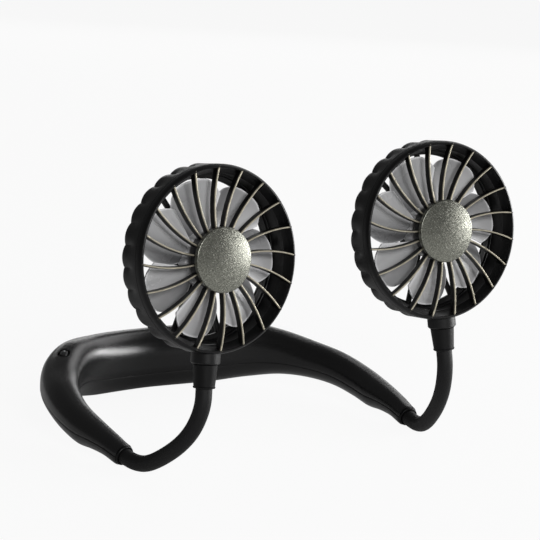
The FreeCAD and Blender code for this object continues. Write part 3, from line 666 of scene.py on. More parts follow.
@dataclass
class SideAssembly:
    """Sub-assembly that stands once on each side."""

    side: Side
    paints: Paints

    def name(self, piece: str) -> str:
        """Name of a piece, solid, body or joint of this side."""
        return f"{self.side.value}_{piece}"

    def settle(self, piece: bpy.types.Object, body: str, node: str, slot: str) -> None:
        """Let a piece ride on a body of this side in place of a solid, both named without the side."""
        settle(piece, self.name(body), self.name(node))


@dataclass
class FanHead(SideAssembly):
    """Caged fan: ring with its stem collar, ribbed cover, cap, impeller and rear grille."""

    steps: int = 208
    small_steps: int = 96
    rim_radius: float = 0.039
    rim_bore: float = 0.0366
    rim_skin: float = 0.0008
    rim_rear: float = 0.0182
    rear_round: tuple[Pair, ...] = ((0, 0.0008), (0.0001, 0.0003), (0.0004, 0))
    inner_bore: float = 0.0353
    seam_depth: float = 0.0082
    seam_gap: float = 0.00015
    seam_round: float = 0.00012
    lobe_count: int = 26
    lobe_facets: int = 14
    lobe_steps: int = 5
    lobe_roundness: float = 0.8
    lobe_height: float = 0.00105
    lobe_start: float = 0.009
    lobe_full: float = 0.0155
    collar_radius: float = 0.0062
    collar_reach: float = 0.0432
    collar_sink: float = 0.0018
    collar_chamfer: float = 0.0005
    stem_steps: int = 64
    stem_setback: float = 0.0115
    spigot_radius: float = 0.0035
    spigot_length: float = 0.0052
    lip_bore: float = 0.0373
    lip_front: float = 0.0042
    lip_drop: float = 0.0021
    lip_inside: tuple[Pair, ...] = ((0, 0.0006), (0.0001, 0.00025), (0.0003, 0.00005), (0.0006, 0.0001))
    lip_outside: tuple[Pair, ...] = ((0.0007, 0.0004), (0.0004, 0.0008), (0.00015, 0.0014))
    throat_step: float = 0.0004
    throat_slope: float = 0.001
    cover_spigot_outer: float = 0.0364
    cover_spigot_bore: float = 0.0352
    cover_spigot_rear: float = 0.0105
    lug_height: float = 0.001
    lug_depth: float = 0.0009
    lug_width: float = 0.0064
    lug_count: int = 3
    cover_hub_radius: float = 0.013
    cover_hub_rear: float = 0.0074
    cover_hub_round: float = 0.0003
    rib_count: int = 20
    rib_steps: int = 18
    rib_front: float = 0.0043
    rib_rear: float = 0.0074
    rib_front_width: float = 0.0007
    rib_nose_steps: int = 6
    rib_flare: float = 0.00003
    rib_rear_width: float = 0.00115
    rib_bow_radius: float = 0.0613
    rib_sink: float = 0.0006
    rib_phase: float = math.radians(-11.6)
    # Reach of the painted highlight on the rib noses.
    nose_highlight_inner: float = 0.0002
    nose_highlight_outer: float = 0.0001
    nose_highlight_depth: float = 0.0002
    cap_radius: float = 0.0136
    cap_dome: float = 0.0013
    cap_dome_steps: int = 10
    cap_depth: float = 0.0032
    cap_round: float = 0.0005
    cap_round_steps: int = 5
    cap_steps: int = 128
    wheel_radius: float = 0.033
    wheel_front: float = 0.0109
    wheel_rear: float = 0.0176
    hub_radius: float = 0.0122
    hub_chamfer: float = 0.0008
    hub_skin: float = 0.0002
    hub_wall: float = 0.0012
    hub_crown: float = 0.0014
    hub_flutes: int = 22
    hub_flute_facets: int = 6
    hub_flute_depth: float = 0.0004
    # Strength of the painted highlight on the flute ridges and of the painted shade in their hollows.
    hub_ridge_highlight: float = 0.9
    hub_hollow_shade: float = 0.2
    blade_count: int = 7
    blade_grid: tuple[int, int] = (26, 22)
    blade_thickness: float = 0.0008
    blade_sink: float = 0.0006
    blade_sweep: float = math.radians(12)
    blade_sweep_power: float = 1.6
    blade_turn: float = math.radians(-27)
    blade_root: float = 0.0043
    blade_tip: float = 0.011
    blade_fullness: float = 0.9
    blade_pitch: float = 0.98
    blade_untwist: float = 0.16
    blade_camber: float = 0.0009
    blade_corner_power: float = 4
    blade_lead_round: float = 0.006
    blade_trail_round: float = 0.0032
    # Bands of painted highlight on the blade edges and tip, and of painted shade towards the trailing edge.
    blade_edge_highlight: Pair = (0.9, 0.99)
    blade_tip_highlight: Pair = (0.95, 0.99)
    blade_trailing_shade: Pair = (0.9, -0.7)
    blade_shade_fade: float = 0.5
    grille_bore: float = 0.0348
    grille_inner: float = 0.0326
    grille_flange: float = 0.037
    grille_clearance: float = 0.0002
    grille_slope: float = 0.0007
    grille_front: float = 0.0165
    grille_rear: float = 0.02
    grille_round: float = 0.0004
    spoke_count: int = 9
    spoke_width: float = 0.0022
    spoke_front: float = 0.01835
    spoke_depth: float = 0.002
    spoke_sink: float = 0.0014
    spoke_lead: float = 0.0003
    spoke_round: float = 0.0005
    cup_radius: float = 0.0116
    cup_bore: float = 0.0102
    cup_front: float = 0.0185
    cup_seat: float = 0.0221
    cup_rear: float = 0.0235
    cup_chamfer: float = 0.0008
    cup_round: float = 0.0003

    def __post_init__(self) -> None:
        """Find where the fan stands."""
        spin = joint(self.name("impeller_spin"))
        stem = joint(self.name("head_swivel"))
        self.place = axis_place(Vector(spin["pos_m"]), Vector(spin["axis"]), Vector(stem["axis"]))

    def lobe(self, point: Vector) -> float:
        """Share of the ring's radius kept at a point of its outside, where lobes run round its rear.

        Args:
            point: Point of the plain outside.

        Returns:
            The share.
        """
        angle = math.atan2(point.y, point.x)
        notch = 1 - abs(math.sin(angle * self.lobe_count / 2)) ** self.lobe_roundness
        depth = notch * self.lobe_height * smooth(self.lobe_start, self.lobe_full, point.z)
        return 1 - depth / self.rim_radius

    def ring(self) -> None:
        """Fan ring with a lobed rear edge, and the collar and spigot of its stem."""
        blank = Blank()
        span = self.lobe_full - self.lobe_start
        fill_front = self.cover_spigot_rear + self.seam_gap
        fill_rear = self.grille_front - self.seam_gap
        outline = [(self.rim_bore, self.seam_depth), (self.rim_radius - self.seam_round, self.seam_depth),
                   (self.rim_radius, self.seam_depth + self.seam_round)]
        outline += [(self.rim_radius, self.lobe_start + span * step / self.lobe_steps)
                    for step in range(self.lobe_steps + 1)]
        outline += [(self.rim_radius - inset, self.rim_rear - ahead) for inset, ahead in self.rear_round]
        outline += [(self.rim_bore, self.rim_rear), (self.rim_bore, fill_rear), (self.inner_bore, fill_rear),
                    (self.inner_bore, fill_front), (self.rim_bore, fill_front)]
        for vert in blank.turn(outline, self.lobe_count * self.lobe_facets):
            if math.hypot(vert.co.x, vert.co.y) > self.rim_bore + self.rim_skin:
                draw_in(vert, self.lobe(vert.co))
        shoulder = self.spigot_length
        top = shoulder + self.collar_reach - self.rim_radius + self.collar_sink
        stem = blank.turn([
            (0, 0), (self.spigot_radius, 0), (self.spigot_radius, shoulder),
            (self.collar_radius - self.collar_chamfer, shoulder),
            (self.collar_radius, shoulder + self.collar_chamfer), (self.collar_radius, top), (0, top),
        ], self.stem_steps, closed=False)
        lift = Matrix.Translation((-self.collar_reach - self.spigot_length, 0, self.stem_setback))
        bmesh.ops.transform(blank.bm, matrix=lift @ Matrix.Rotation(math.pi / 2, 4, "Y"), verts=stem)
        piece = blank.finish(self.name("fan_ring"), self.place, [self.paints.of(FAN_BLACK)])
        self.settle(piece, "head", "head_shell", "fan_black")

    def rib_section(self) -> list[Vector]:
        """Corners of a rib's section at its root: a tapering bar with a round nose.

        Returns:
            The corners, from one side to the other.
        """
        nose = self.rib_front_width / 2
        wall = self.rib_front + 2 * nose
        points = [(-self.rib_rear_width / 2, self.rib_rear), (-nose - self.rib_flare, wall)]
        for place in range(self.rib_nose_steps + 1):
            angle = math.pi * place / self.rib_nose_steps
            points.append((-nose * math.cos(angle), self.rib_front + nose - nose * math.sin(angle)))
        points += [(nose + self.rib_flare, wall), (self.rib_rear_width / 2, self.rib_rear)]
        return [Vector((self.cover_hub_radius, across, depth)) for across, depth in points]

    def cover(self) -> None:
        """Front cover: rounded lip ring with a lugged spigot, hub and curved ribs."""
        blank = Blank()
        seam = self.seam_depth - self.seam_gap
        lip = [(self.lip_bore + out, self.lip_front + back) for out, back in self.lip_inside]
        lip += [(self.rim_radius - inset, self.lip_front + back) for inset, back in self.lip_outside]
        lip += [
            (self.rim_radius, self.lip_front + self.lip_drop), (self.rim_radius, seam - self.seam_round),
            (self.rim_radius - self.seam_round, seam), (self.cover_spigot_outer, seam),
            (self.cover_spigot_outer, self.cover_spigot_rear),
            (self.cover_spigot_bore, self.cover_spigot_rear),
            (self.cover_spigot_bore, self.rib_rear + self.throat_slope),
            (self.lip_bore - self.throat_step, self.rib_rear - self.throat_slope),
        ]
        blank.turn(lip, self.steps)
        hub = blank.turn([
            (0, self.cap_depth), (self.cover_hub_radius, self.cap_depth),
            (self.cover_hub_radius, self.cover_hub_rear), (0, self.cover_hub_rear),
        ], self.small_steps, closed=False)
        blank.round_edges(self.cover_hub_round, 2, hub)
        centre = Vector((self.cover_hub_radius, self.rib_bow_radius, 0))
        root = math.asin(self.rib_rear_width / self.rib_bow_radius)
        sweep = math.asin((self.lip_bore + self.rib_sink - self.cover_hub_radius) / self.rib_bow_radius)
        turn_back = Matrix.Translation(centre) @ Matrix.Rotation(-root, 4, "Z") @ Matrix.Translation(-centre)
        section = [turn_back @ corner for corner in self.rib_section()]
        rib = blank.sweep(section, centre, root + sweep, self.rib_steps)
        bmesh.ops.rotate(blank.bm, cent=(0, 0, 0), matrix=Matrix.Rotation(self.rib_phase, 3, "Z"), verts=rib)
        blank.around(rib, self.rib_count)
        lug_middle = Vector((self.cover_spigot_outer, 0, self.cover_spigot_rear - self.lug_depth / 2))
        lug = blank.bar(Vector((self.lug_height, self.lug_width, self.lug_depth)), lug_middle)
        blank.around(lug, self.lug_count)
        # Painted highlight along the noses of the ribs.
        blank.paint("nose_highlight", self.nose_highlight)
        piece = blank.finish(self.name("ribbed_cover"), self.place, [self.paints.of(COVER_BLACK)])
        self.settle(piece, "cover", "front_cover", "cover_black")

    def nose_highlight(self, point: Vector) -> float:
        """Share of painted highlight at a point of the cover: full on the noses of the ribs, none elsewhere.

        Args:
            point: Point of the cover.

        Returns:
            The share.
        """
        radius = math.hypot(point.x, point.y)
        if not self.cover_hub_radius + self.nose_highlight_inner < radius < self.lip_bore - self.nose_highlight_outer:
            return 0.0
        return 1 - smooth(self.rib_front + self.nose_highlight_depth, self.rib_front + self.rib_front_width, point.z)

    def cap(self) -> None:
        """Low dome on the middle of the cover, with a rounded edge."""
        blank = Blank()
        crown = self.cap_radius - self.cap_round
        shares = [step / self.cap_dome_steps for step in range(self.cap_dome_steps + 1)]
        outline = [(crown * share, self.cap_dome * share ** 2) for share in shares]
        for step in range(1, self.cap_round_steps + 1):
            angle = math.pi / 2 * step / self.cap_round_steps
            outline.append((crown + self.cap_round * math.sin(angle),
                            self.cap_dome + self.cap_round * (1 - math.cos(angle))))
        outline += [(self.cap_radius, self.cap_depth), (0, self.cap_depth)]
        blank.turn(outline, self.cap_steps, closed=False)
        piece = blank.finish(self.name("cap_disc"), self.place, [self.paints.of(CAP_GRAPHITE)])
        self.settle(piece, "cover", "cover_cap", "cap_graphite")

    def blade_point(self, across: float, outward: float) -> Vector:
        """Point of a blade's middle surface.

        Args:
            across: From -1 at the trailing edge to 1 at the leading edge.
            outward: From 0 at the hub to 1 at the tip.

        Returns:
            The point in the fan's turning frame.
        """
        rounding = self.blade_lead_round if across > 0 else self.blade_trail_round
        corner = abs(across) ** self.blade_corner_power * rounding
        root = self.hub_radius - self.blade_sink
        radius = root + (self.wheel_radius - corner - root) * outward
        widening = math.sin(outward * math.pi / 2) ** self.blade_fullness
        half_chord = self.blade_root + (self.blade_tip - self.blade_root) * widening
        swept = self.blade_sweep * outward ** self.blade_sweep_power
        angle = across * half_chord / radius + swept + self.blade_turn
        pitch = (self.wheel_rear - self.wheel_front) / 2 - self.blade_thickness
        slant = across * pitch * (self.blade_pitch - self.blade_untwist * outward)
        middle = (self.wheel_rear + self.wheel_front) / 2
        depth = middle - slant - self.blade_camber * (1 - across * across)
        return Vector((radius * math.cos(angle), radius * math.sin(angle), depth))

    def impeller(self) -> None:
        """Impeller: a fluted hub cup and swept petal blades."""
        blank = Blank()
        # The value "edge" holds painted highlight and "thick" holds painted shade, on the blades and the hub.
        edge = blank.bm.verts.layers.float.new("edge")
        thick = blank.bm.verts.layers.float.new("thick")
        columns, rows = self.blade_grid
        grid = bmesh.ops.create_grid(blank.bm, x_segments=columns, y_segments=rows, size=1)["verts"]
        for vert in grid:
            across, outward = vert.co.x, (vert.co.y + 1) / 2
            # Painted highlight along both edges and the tip of each blade; painted shade towards the trailing
            # edge, fading towards the tip.
            vert[edge] = max(smooth(*self.blade_edge_highlight, abs(across)), smooth(*self.blade_tip_highlight, outward))
            vert[thick] = smooth(*self.blade_trailing_shade, across) * (1 - self.blade_shade_fade * outward)
            vert.co = self.blade_point(across, outward)
        faces = list({face for vert in grid for face in vert.link_faces})
        bmesh.ops.recalc_face_normals(blank.bm, faces=faces)
        bmesh.ops.solidify(blank.bm, geom=faces, thickness=self.blade_thickness)
        blank.around(list(blank.bm.verts), self.blade_count)
        wall = self.hub_radius - self.hub_wall
        crown = self.wheel_front + self.hub_crown
        hub = blank.turn([
            (0, self.wheel_front), (self.hub_radius - self.hub_chamfer, self.wheel_front),
            (self.hub_radius, self.wheel_front + self.hub_chamfer), (self.hub_radius, self.wheel_rear),
            (wall, self.wheel_rear), (wall, crown), (0, crown),
        ], self.hub_flutes * self.hub_flute_facets, closed=False)
        for vert in hub:
            radius = math.hypot(vert.co.x, vert.co.y)
            if radius > self.hub_radius - self.hub_skin:
                wave = (1 - math.cos(math.atan2(vert.co.y, vert.co.x) * self.hub_flutes)) / 2
                draw_in(vert, 1 - self.hub_flute_depth * wave / radius)
                # Painted highlight on the ridges of the flutes and painted shade in their hollows.
                vert[edge] = self.hub_ridge_highlight * (1 - wave)
                vert[thick] = self.hub_hollow_shade * wave
        piece = blank.finish(self.name("petal_impeller"), self.place, [self.paints.of(BLADE_GREY)])
        self.settle(piece, "rotor", "impeller", "impeller_grey")

    def rear_grille(self) -> None:
        """Rear grille: flanged ring, rounded spokes and the cup that holds the motor."""
        blank = Blank()
        seat = self.rim_bore - self.grille_clearance
        ring = blank.turn([
            (self.grille_bore, self.grille_front), (seat, self.grille_front), (seat, self.rim_rear),
            (self.grille_flange, self.rim_rear), (self.grille_flange - self.grille_slope, self.grille_rear),
            (self.grille_inner, self.grille_rear), (self.grille_inner, self.spoke_front),
            (self.grille_bore, self.spoke_front - self.spoke_lead),
        ], self.steps)
        blank.round_edges(self.grille_round, 3, ring)
        cup = blank.turn([
            (0, self.cup_seat), (self.cup_bore, self.cup_seat), (self.cup_bore, self.cup_front),
            (self.cup_radius, self.cup_front), (self.cup_radius, self.cup_rear - self.cup_chamfer),
            (self.cup_radius - self.cup_chamfer, self.cup_rear), (0, self.cup_rear),
        ], self.small_steps, closed=False)
        blank.round_edges(self.cup_round, 3, cup)
        length = self.grille_bore - self.cup_radius + self.spoke_sink
        depth = self.spoke_front + self.spoke_depth / 2
        spoke = blank.bar(Vector((length, self.spoke_width, self.spoke_depth)),
                          Vector(((self.grille_bore + self.cup_radius) / 2, 0, depth)))
        before = set(blank.bm.verts) - set(spoke)
        blank.round_edges(self.spoke_round, 3, spoke)
        blank.around([vert for vert in blank.bm.verts if vert not in before], self.spoke_count)
        piece = blank.finish(self.name("back_grille"), self.place, [self.paints.of(FAN_BLACK)])
        self.settle(piece, "head", "rear_grille", "fan_black")

    def build(self) -> None:
        """Build and dress every piece of the fan."""
        self.ring()
        self.cover()
        self.cap()
        self.impeller()
        self.rear_grille()
        for node, finish in (("motor_can", SCREW_STEEL), ("motor_base", DARK_FITTING),
                             ("motor_armature", COPPER), ("motor_shaft", SCREW_STEEL),
                             ("motor_screws", SCREW_STEEL), ("swivel_clip", SCREW_STEEL)):
            dress(self.name(node), self.paints.of(finish))


@dataclass
class Arm(SideAssembly):
    """Bendable arm: hose with its core and leads, the bush at the band and the sleeve under the fan."""

    hose_radius: float = 0.0035
    hose_sides: int = 12
    core_radius: float = 0.0012
    core_sides: int = 4
    lead_radius: float = 0.0004
    lead_sides: int = 2
    lead_offset: float = 0.0019
    lead_tail: float = 0.024
    line_order: int = 3
    line_steps: int = 40
    hose_rise: float = 0.0138
    hose_fall: float = 0.018
    hose_tuck: float = 0.0036
    straight_start: float = 0.004
    straight_end: float = 0.0032
    low_bend: float = 0.56
    low_pull: float = 0.16
    high_pull: float = 0.74
    high_bend: float = 0.52
    bend_reach: float = 0.02
    tilt_reach: float = 0.02
    bush_length: float = 0.0085
    bush_clearance: float = 0.00005
    bush_barrel: float = 0.00405
    bush_flange: float = 0.00445
    bush_flange_gap: float = 0.00015
    bush_flange_height: float = 0.0011
    bush_chamfer: float = 0.0003
    bush_bore_chamfer: float = 0.0002
    bush_round: float = 0.00015
    bush_steps: int = 64
    sleeve_length: float = 0.01
    sleeve_top: float = 0.0052
    sleeve_foot: float = 0.0046
    sleeve_lip: tuple[Pair, ...] = ((-0.0002, 0), (0, 0.0002), (0.0001, 0.0006), (-0.00012, 0.0008),
                                    (-0.0001, 0.0011))
    sleeve_bore: float = 0.00355
    sleeve_chamfer: float = 0.0003
    sleeve_smooth: float = 0.45
    sleeve_steps: int = 72

    def __post_init__(self) -> None:
        """Find both ends of the arm and the corners of the hose's route between them."""
        bend = joint(self.name("arm_raise"))
        stem = joint(self.name("head_swivel"))
        self.root = Vector(joint(self.name("arm_roll"))["pos_m"])
        self.forward = (Vector(bend["pos_m"]) - self.root).normalized()
        self.foot = Vector(stem["pos_m"])
        self.upward = Vector(stem["axis"]).normalized()
        self.low = self.root + self.forward * self.hose_rise
        self.high = self.foot - self.upward * self.hose_fall

    def route(self, start_tuck: float, end_tuck: float, shift: float) -> list[Vector]:
        """Points that a bar of the arm follows.

        Args:
            start_tuck: How far it reaches into the band.
            end_tuck: How far it reaches into the sleeve.
            shift: How far it lies beside the middle.

        Returns:
            Control points from the band to the sleeve.
        """
        across = self.forward.cross(self.upward).normalized() * shift
        points = [self.root - self.forward * start_tuck, self.root - self.forward * self.straight_start,
                  self.root.lerp(self.low, self.low_bend), self.low.lerp(self.high, self.low_pull),
                  self.low.lerp(self.high, self.high_pull), self.foot.lerp(self.high, self.high_bend),
                  self.foot + self.upward * self.straight_end, self.foot + self.upward * end_tuck]
        return [point + across for point in points]

    def bar(self, points: list[Vector], radius: float, sides: int) -> bpy.types.Mesh:
        """Round bar along a smooth line.

        Args:
            points: Control points of the line.
            radius: Radius of the bar.
            sides: Steps of a quarter of its section.

        Returns:
            Mesh of the bar.
        """
        curve = bpy.data.curves.new("arm_line", "CURVE")
        curve.dimensions = "3D"
        spline = curve.splines.new("NURBS")
        spline.points.add(len(points) - 1)
        for point, place in zip(spline.points, points):
            point.co = (*place, 1)
        spline.order_u = self.line_order
        spline.use_endpoint_u = True
        spline.resolution_u = self.line_steps
        curve.bevel_depth = radius
        curve.bevel_resolution = sides
        curve.use_fill_caps = True
        line = bpy.data.objects.new("arm_line", curve)
        bpy.context.scene.collection.objects.link(line)
        bpy.context.view_layer.update()
        mesh = bpy.data.meshes.new_from_object(line.evaluated_get(bpy.context.evaluated_depsgraph_get()))
        bpy.data.objects.remove(line)
        bpy.data.curves.remove(curve)
        return mesh

    def halves(self, name: str, meshes: list[bpy.types.Mesh], node: str, slot: str, finish: object) -> None:
        """Two halves of a bar, cut across its middle and each closed at the cut.

        Args:
            name: Name of the bar.
            meshes: Meshes of the whole bar.
            node: Solid that the bar stands for.
            slot: Material slot of the record. Not used.
            finish: Finish of the bar.
        """
        middle = (self.low + self.high) / 2
        along = (self.high - self.low).normalized()
        blends = (("lower", False, "bush", "arm", self.root, self.root + self.forward * self.bend_reach),
                  ("upper", True, "arm", "stem", self.foot - self.upward * self.tilt_reach, self.foot))
        for half, far, first, second, start, end in blends:
            blank = Blank()
            for mesh in meshes:
                blank.bm.from_mesh(mesh)
            bmesh.ops.remove_doubles(blank.bm, verts=blank.bm.verts, dist=MERGE)
            geom = blank.bm.verts[:] + blank.bm.edges[:] + blank.bm.faces[:]
            cut = bmesh.ops.bisect_plane(blank.bm, geom=geom, plane_co=middle, plane_no=along,
                                         clear_outer=not far, clear_inner=far)
            rim = [edge for edge in cut["geom_cut"] if isinstance(edge, bmesh.types.BMEdge)]
            bmesh.ops.edgenet_fill(blank.bm, edges=rim)
            piece = blank.finish(self.name(f"{half}_{name}"), Matrix(), [self.paints.of(finish)])
            self.name(first)
            self.name(second)
            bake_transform(piece)
            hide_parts(self.name(node))
        for mesh in meshes:
            bpy.data.meshes.remove(mesh)

    def hose(self) -> None:
        """Hose, core wire and leads."""
        middle = self.route(self.bush_length, self.hose_tuck, 0)
        hose = self.bar(middle, self.hose_radius, self.hose_sides)
        self.halves("hose_skin", [hose], "hose", "hose_black", HOSE_BLACK)
        core = self.bar(middle, self.core_radius, self.core_sides)
        self.halves("core_bar", [core], "core_wire", "core_metal", CORE_METAL)
        tail = self.bush_length + self.lead_tail
        leads = [self.bar(self.route(tail, self.sleeve_length, shift), self.lead_radius, self.lead_sides)
                 for shift in (-self.lead_offset, self.lead_offset)]
        self.halves("lead_pair", leads, "leads", "wire_red", WIRE_RED)

    def bush(self) -> None:
        """Flanged bush that holds the hose in the band's end."""
        blank = Blank()
        bore = self.hose_radius + self.bush_clearance
        flange = self.bush_length + self.bush_flange_gap
        top = self.bush_length + self.bush_flange_height
        ring = blank.turn([
            (bore, 0), (self.bush_barrel, 0), (self.bush_barrel, flange), (self.bush_flange, flange),
            (self.bush_flange, top - self.bush_chamfer), (self.bush_flange - self.bush_chamfer, top),
            (bore + self.bush_bore_chamfer, top), (bore, top - self.bush_bore_chamfer),
        ], self.bush_steps)
        blank.round_edges(self.bush_round, 2, ring)
        place = axis_place(self.root - self.forward * self.bush_length, self.forward, Vector((0, 0, 1)))
        piece = blank.finish(self.name("hose_collar"), place, [self.paints.of(COLLAR_BLACK)])
        self.settle(piece, "bush", "end_bush", "collar_black")

    def sleeve(self) -> None:
        """Tapered sleeve under the fan, with a fine lip at its foot."""
        blank = Blank()
        length = self.sleeve_length
        outline = [(self.sleeve_bore, 0)]
        outline += [(self.sleeve_foot + out, height) for out, height in self.sleeve_lip]
        outline += [(self.sleeve_top, length - self.sleeve_chamfer),
                    (self.sleeve_top - self.sleeve_chamfer, length), (self.sleeve_bore, length)]
        blank.turn(outline, self.sleeve_steps)
        place = axis_place(self.foot, self.upward, Vector((0, -1, 0)))
        piece = blank.finish(self.name("taper_sleeve"), place, [self.paints.of(COLLAR_BLACK)],
                             self.sleeve_smooth)
        self.settle(piece, "stem", "stem_sleeve", "collar_black")

    def build(self) -> None:
        """Build and dress every piece of the arm."""
        self.hose()
        self.bush()
        self.sleeve()


@dataclass(frozen=True)
class Section:
    """One cross-section of the band."""

    centre: Vector
    outward: Vector
    upward: Vector
    half_width: float
    half_height: float
    parting: float
    wall: float


@dataclass
class NeckBand:
    """Hollow neck band in two shells, with its button and what it holds."""

    paints: Paints
    arc_radius: float = 0.078
    height: float = 0.0287
    thickness: float = 0.0186
    rise: float = 0.0082
    foot_flat: float = 0.0004
    end_spread: float = 0.076
    end_reach: float = 0.1097
    end_radius: float = 0.00475
    end_lift: float = 0.0001
    end_slope: float = math.radians(13)
    slope_start: float = 0.75
    cavity_end: float = 0.82
    wall: float = 0.0018
    end_wall: float = 0.0006
    corner_width: float = 0.46
    corner_height: float = 0.4
    parting_gap: float = 0.0001
    parting_round: float = 0.00022
    end_round: float = 0.0003
    end_round_share: float = 0.004
    length_steps: int = 240
    rise_steps: int = 22
    button_share: float = -0.44
    button_span: float = 0.04
    button_length: float = 0.007
    button_width: float = 0.0044
    button_facets: int = 64
    button_shy: float = 0.0005
    button_top: float = 0.0001
    button_reach: float = 0.0034
    button_round: float = 0.0005
    hole_gap: float = 0.0005
    hole_top: float = 0.00135
    hole_depth: float = 0.0045
    light_radius: float = 0.0005
    light_taper: float = 0.7
    light_height: float = 0.0003
    light_inset: float = 0.0017
    light_facets: int = 24
    port_width: float = 0.0093
    port_height: float = 0.0036
    port_reach: float = 0.012
    port_round: float = 0.0015
    well_shares: tuple[float, ...] = (-0.74, -0.3, 0.3, 0.74)
    well_radius: float = 0.0021
    well_depth: float = 0.0024
    well_facets: int = 48
    shares: tuple[tuple[float, ...], ...] = (
        (0.00, 1.00, 1.00, 0.00, 0.31), (0.20, 0.99, 1.00, 0.14, 0.31), (0.35, 0.85, 1.00, 0.62, 0.32),
        (0.45, 0.60, 0.98, 0.94, 0.33), (0.55, 0.41, 0.88, 1.00, 0.35), (0.65, 0.33, 0.72, 0.87, 0.38),
        (0.75, 0.28, 0.58, 0.54, 0.41), (0.82, 0.24, 0.50, 0.32, 0.44), (0.88, 0.12, 0.32, 0.33, 0.46),
        (0.94, 0.03, 0.13, 0.25, 0.48), (1.00, 0.00, 0.00, 0.00, 0.50),
    )

    def share_row(self, share: float) -> list[float]:
        """Shares of height, thickness, arch and parting, on a smooth line through the rows of the table.

        Args:
            share: Place along half of the band.

        Returns:
            The four shares.
        """
        first, last = self.shares[1], self.shares[-1]
        rows = [(-first[0], *first[1:]), *self.shares, (2 * last[0] - self.shares[-2][0], *last[1:])]
        here = next(place for place in range(2, len(rows) - 1) if share <= rows[place][0])
        before, low, high, after = rows[here - 2:here + 2]
        run = high[0] - low[0]
        part = (share - low[0]) / run
        values = []
        for column in range(1, len(low)):
            leave = (high[column] - before[column]) / (high[0] - before[0]) * run
            arrive = (after[column] - low[column]) / (after[0] - low[0]) * run
            bend = 2 * (low[column] - high[column]) + leave + arrive
            curve = 3 * (high[column] - low[column]) - 2 * leave - arrive
            values.append(low[column] + part * (leave + part * (curve + part * bend)))
        return values

    def section(self, place: float) -> Section:
        """Cross-section of the band.

        Args:
            place: Signed share of the band's half length, below 0 on the left.

        Returns:
            The cross-section there.
        """
        side = -1 if place < 0 else 1
        share = min(abs(place), 1)
        tall, thick, arch, parting = self.share_row(share)
        leg_drop = self.end_reach - self.arc_radius
        leg_inset = self.arc_radius - self.end_spread
        leg_radius = (leg_inset ** 2 + leg_drop ** 2) / (2 * leg_inset)
        back = self.arc_radius * math.pi / 2
        length = share * (back + leg_radius * math.asin(leg_drop / leg_radius))
        heading = length / self.arc_radius
        middle = Vector((math.sin(heading), math.cos(heading) - 1, 0)) * self.arc_radius
        if length > back:
            turn = (length - back) / leg_radius
            heading = math.pi / 2 + turn
            middle = Vector((self.arc_radius - leg_radius * (1 - math.cos(turn)),
                             -self.arc_radius - leg_radius * math.sin(turn), 0))
        end_size = 2 * self.end_radius
        height = end_size + tall * (self.height - end_size)
        width = end_size + thick * (self.thickness - end_size)
        end_share = max(0, share - self.cavity_end) / (1 - self.cavity_end)
        low = arch * self.rise - self.foot_flat * (1 - end_share) + self.end_lift * end_share
        slope = self.end_slope * max(0, share - self.slope_start) / (1 - self.slope_start)
        flat = Vector((side * math.cos(heading), -math.sin(heading), 0))
        forward = flat * math.cos(slope) - Vector((0, 0, math.sin(slope)))
        outward = Vector((side * math.sin(heading), math.cos(heading), 0))
        centre = Vector((side * middle.x, middle.y, low + height / 2))
        wall = self.wall + (self.end_wall - self.wall) * end_share
        return Section(centre, outward, forward.cross(outward) * side, width / 2, height / 2,
                       (parting - 0.5) * height, wall)

    def skin(self, section: Section, shell: Shell, side: int, rise: float, inset: float) -> Vector:
        """Point of a shell's oval skin.

        Args:
            section: Cross-section that it lies in.
            shell: Shell that it belongs to.
            side: 1 on the outside of the band, -1 on the inside.
            rise: From 0 at the parting to 1 at the crest or the foot.
            inset: How far it lies inside the band's outside.

        Returns:
            The point.
        """
        half_width = section.half_width - inset
        half_height = section.half_height - inset
        corner_width = 2 * self.corner_width * section.half_width
        corner_height = max(corner_width, 2 * self.corner_height * section.half_height) - inset
        corner_width -= inset
        start = section.parting + shell.value * self.parting_gap / 2
        level = start + (shell.value * half_height - start) * math.sin(rise * math.pi / 2)
        past = max(0.0, abs(level) - half_height + corner_height) / corner_height
        across = half_width - corner_width * (1 - math.sqrt(max(0.0, 1 - past * past)))
        return section.centre + section.outward * (side * across) + section.upward * level

    def shell_blank(self, shell: Shell) -> Blank:
        """Closed shell: its outer skin, its inner skin and the edges where it parts and ends.

        Args:
            shell: Which of the two.

        Returns:
            The blank, with no openings yet.
        """
        blank = Blank()
        rises = [step / self.rise_steps for step in range(1, self.rise_steps + 1)]
        over = [(1, rise) for rise in rises] + [(-1, rise) for rise in reversed(rises)]
        loop = [(1, 0.0, True), *[(*place, True) for place in over], (-1, 0.0, True), (-1, 0.0, False),
                *[(*place, False) for place in reversed(over)], (1, 0.0, False)]
        count = len(loop)
        bmesh.ops.create_grid(blank.bm, x_segments=self.length_steps, y_segments=count, size=1)
        columns = {}
        for vert in blank.bm.verts:
            key = round(vert.co.x, 5)
            if key not in columns:
                columns[key] = self.section(vert.co.x * (1 + self.end_round_share))
            side, rise, outside = loop[round((vert.co.y + 1) / 2 * count) % count]
            inset = columns[key].wall
            if outside:
                inset = (self.parting_round if rise == 0 else 0) + (self.end_round if abs(key) == 1 else 0)
            vert.co = self.skin(columns[key], shell, side, rise, inset)
            vert.co.z = max(vert.co.z, 0)
        bmesh.ops.remove_doubles(blank.bm, verts=blank.bm.verts, dist=MERGE)
        ends = [edge for edge in blank.bm.edges if edge.is_boundary]
        bmesh.ops.edgeloop_fill(blank.bm, edges=ends)
        return blank

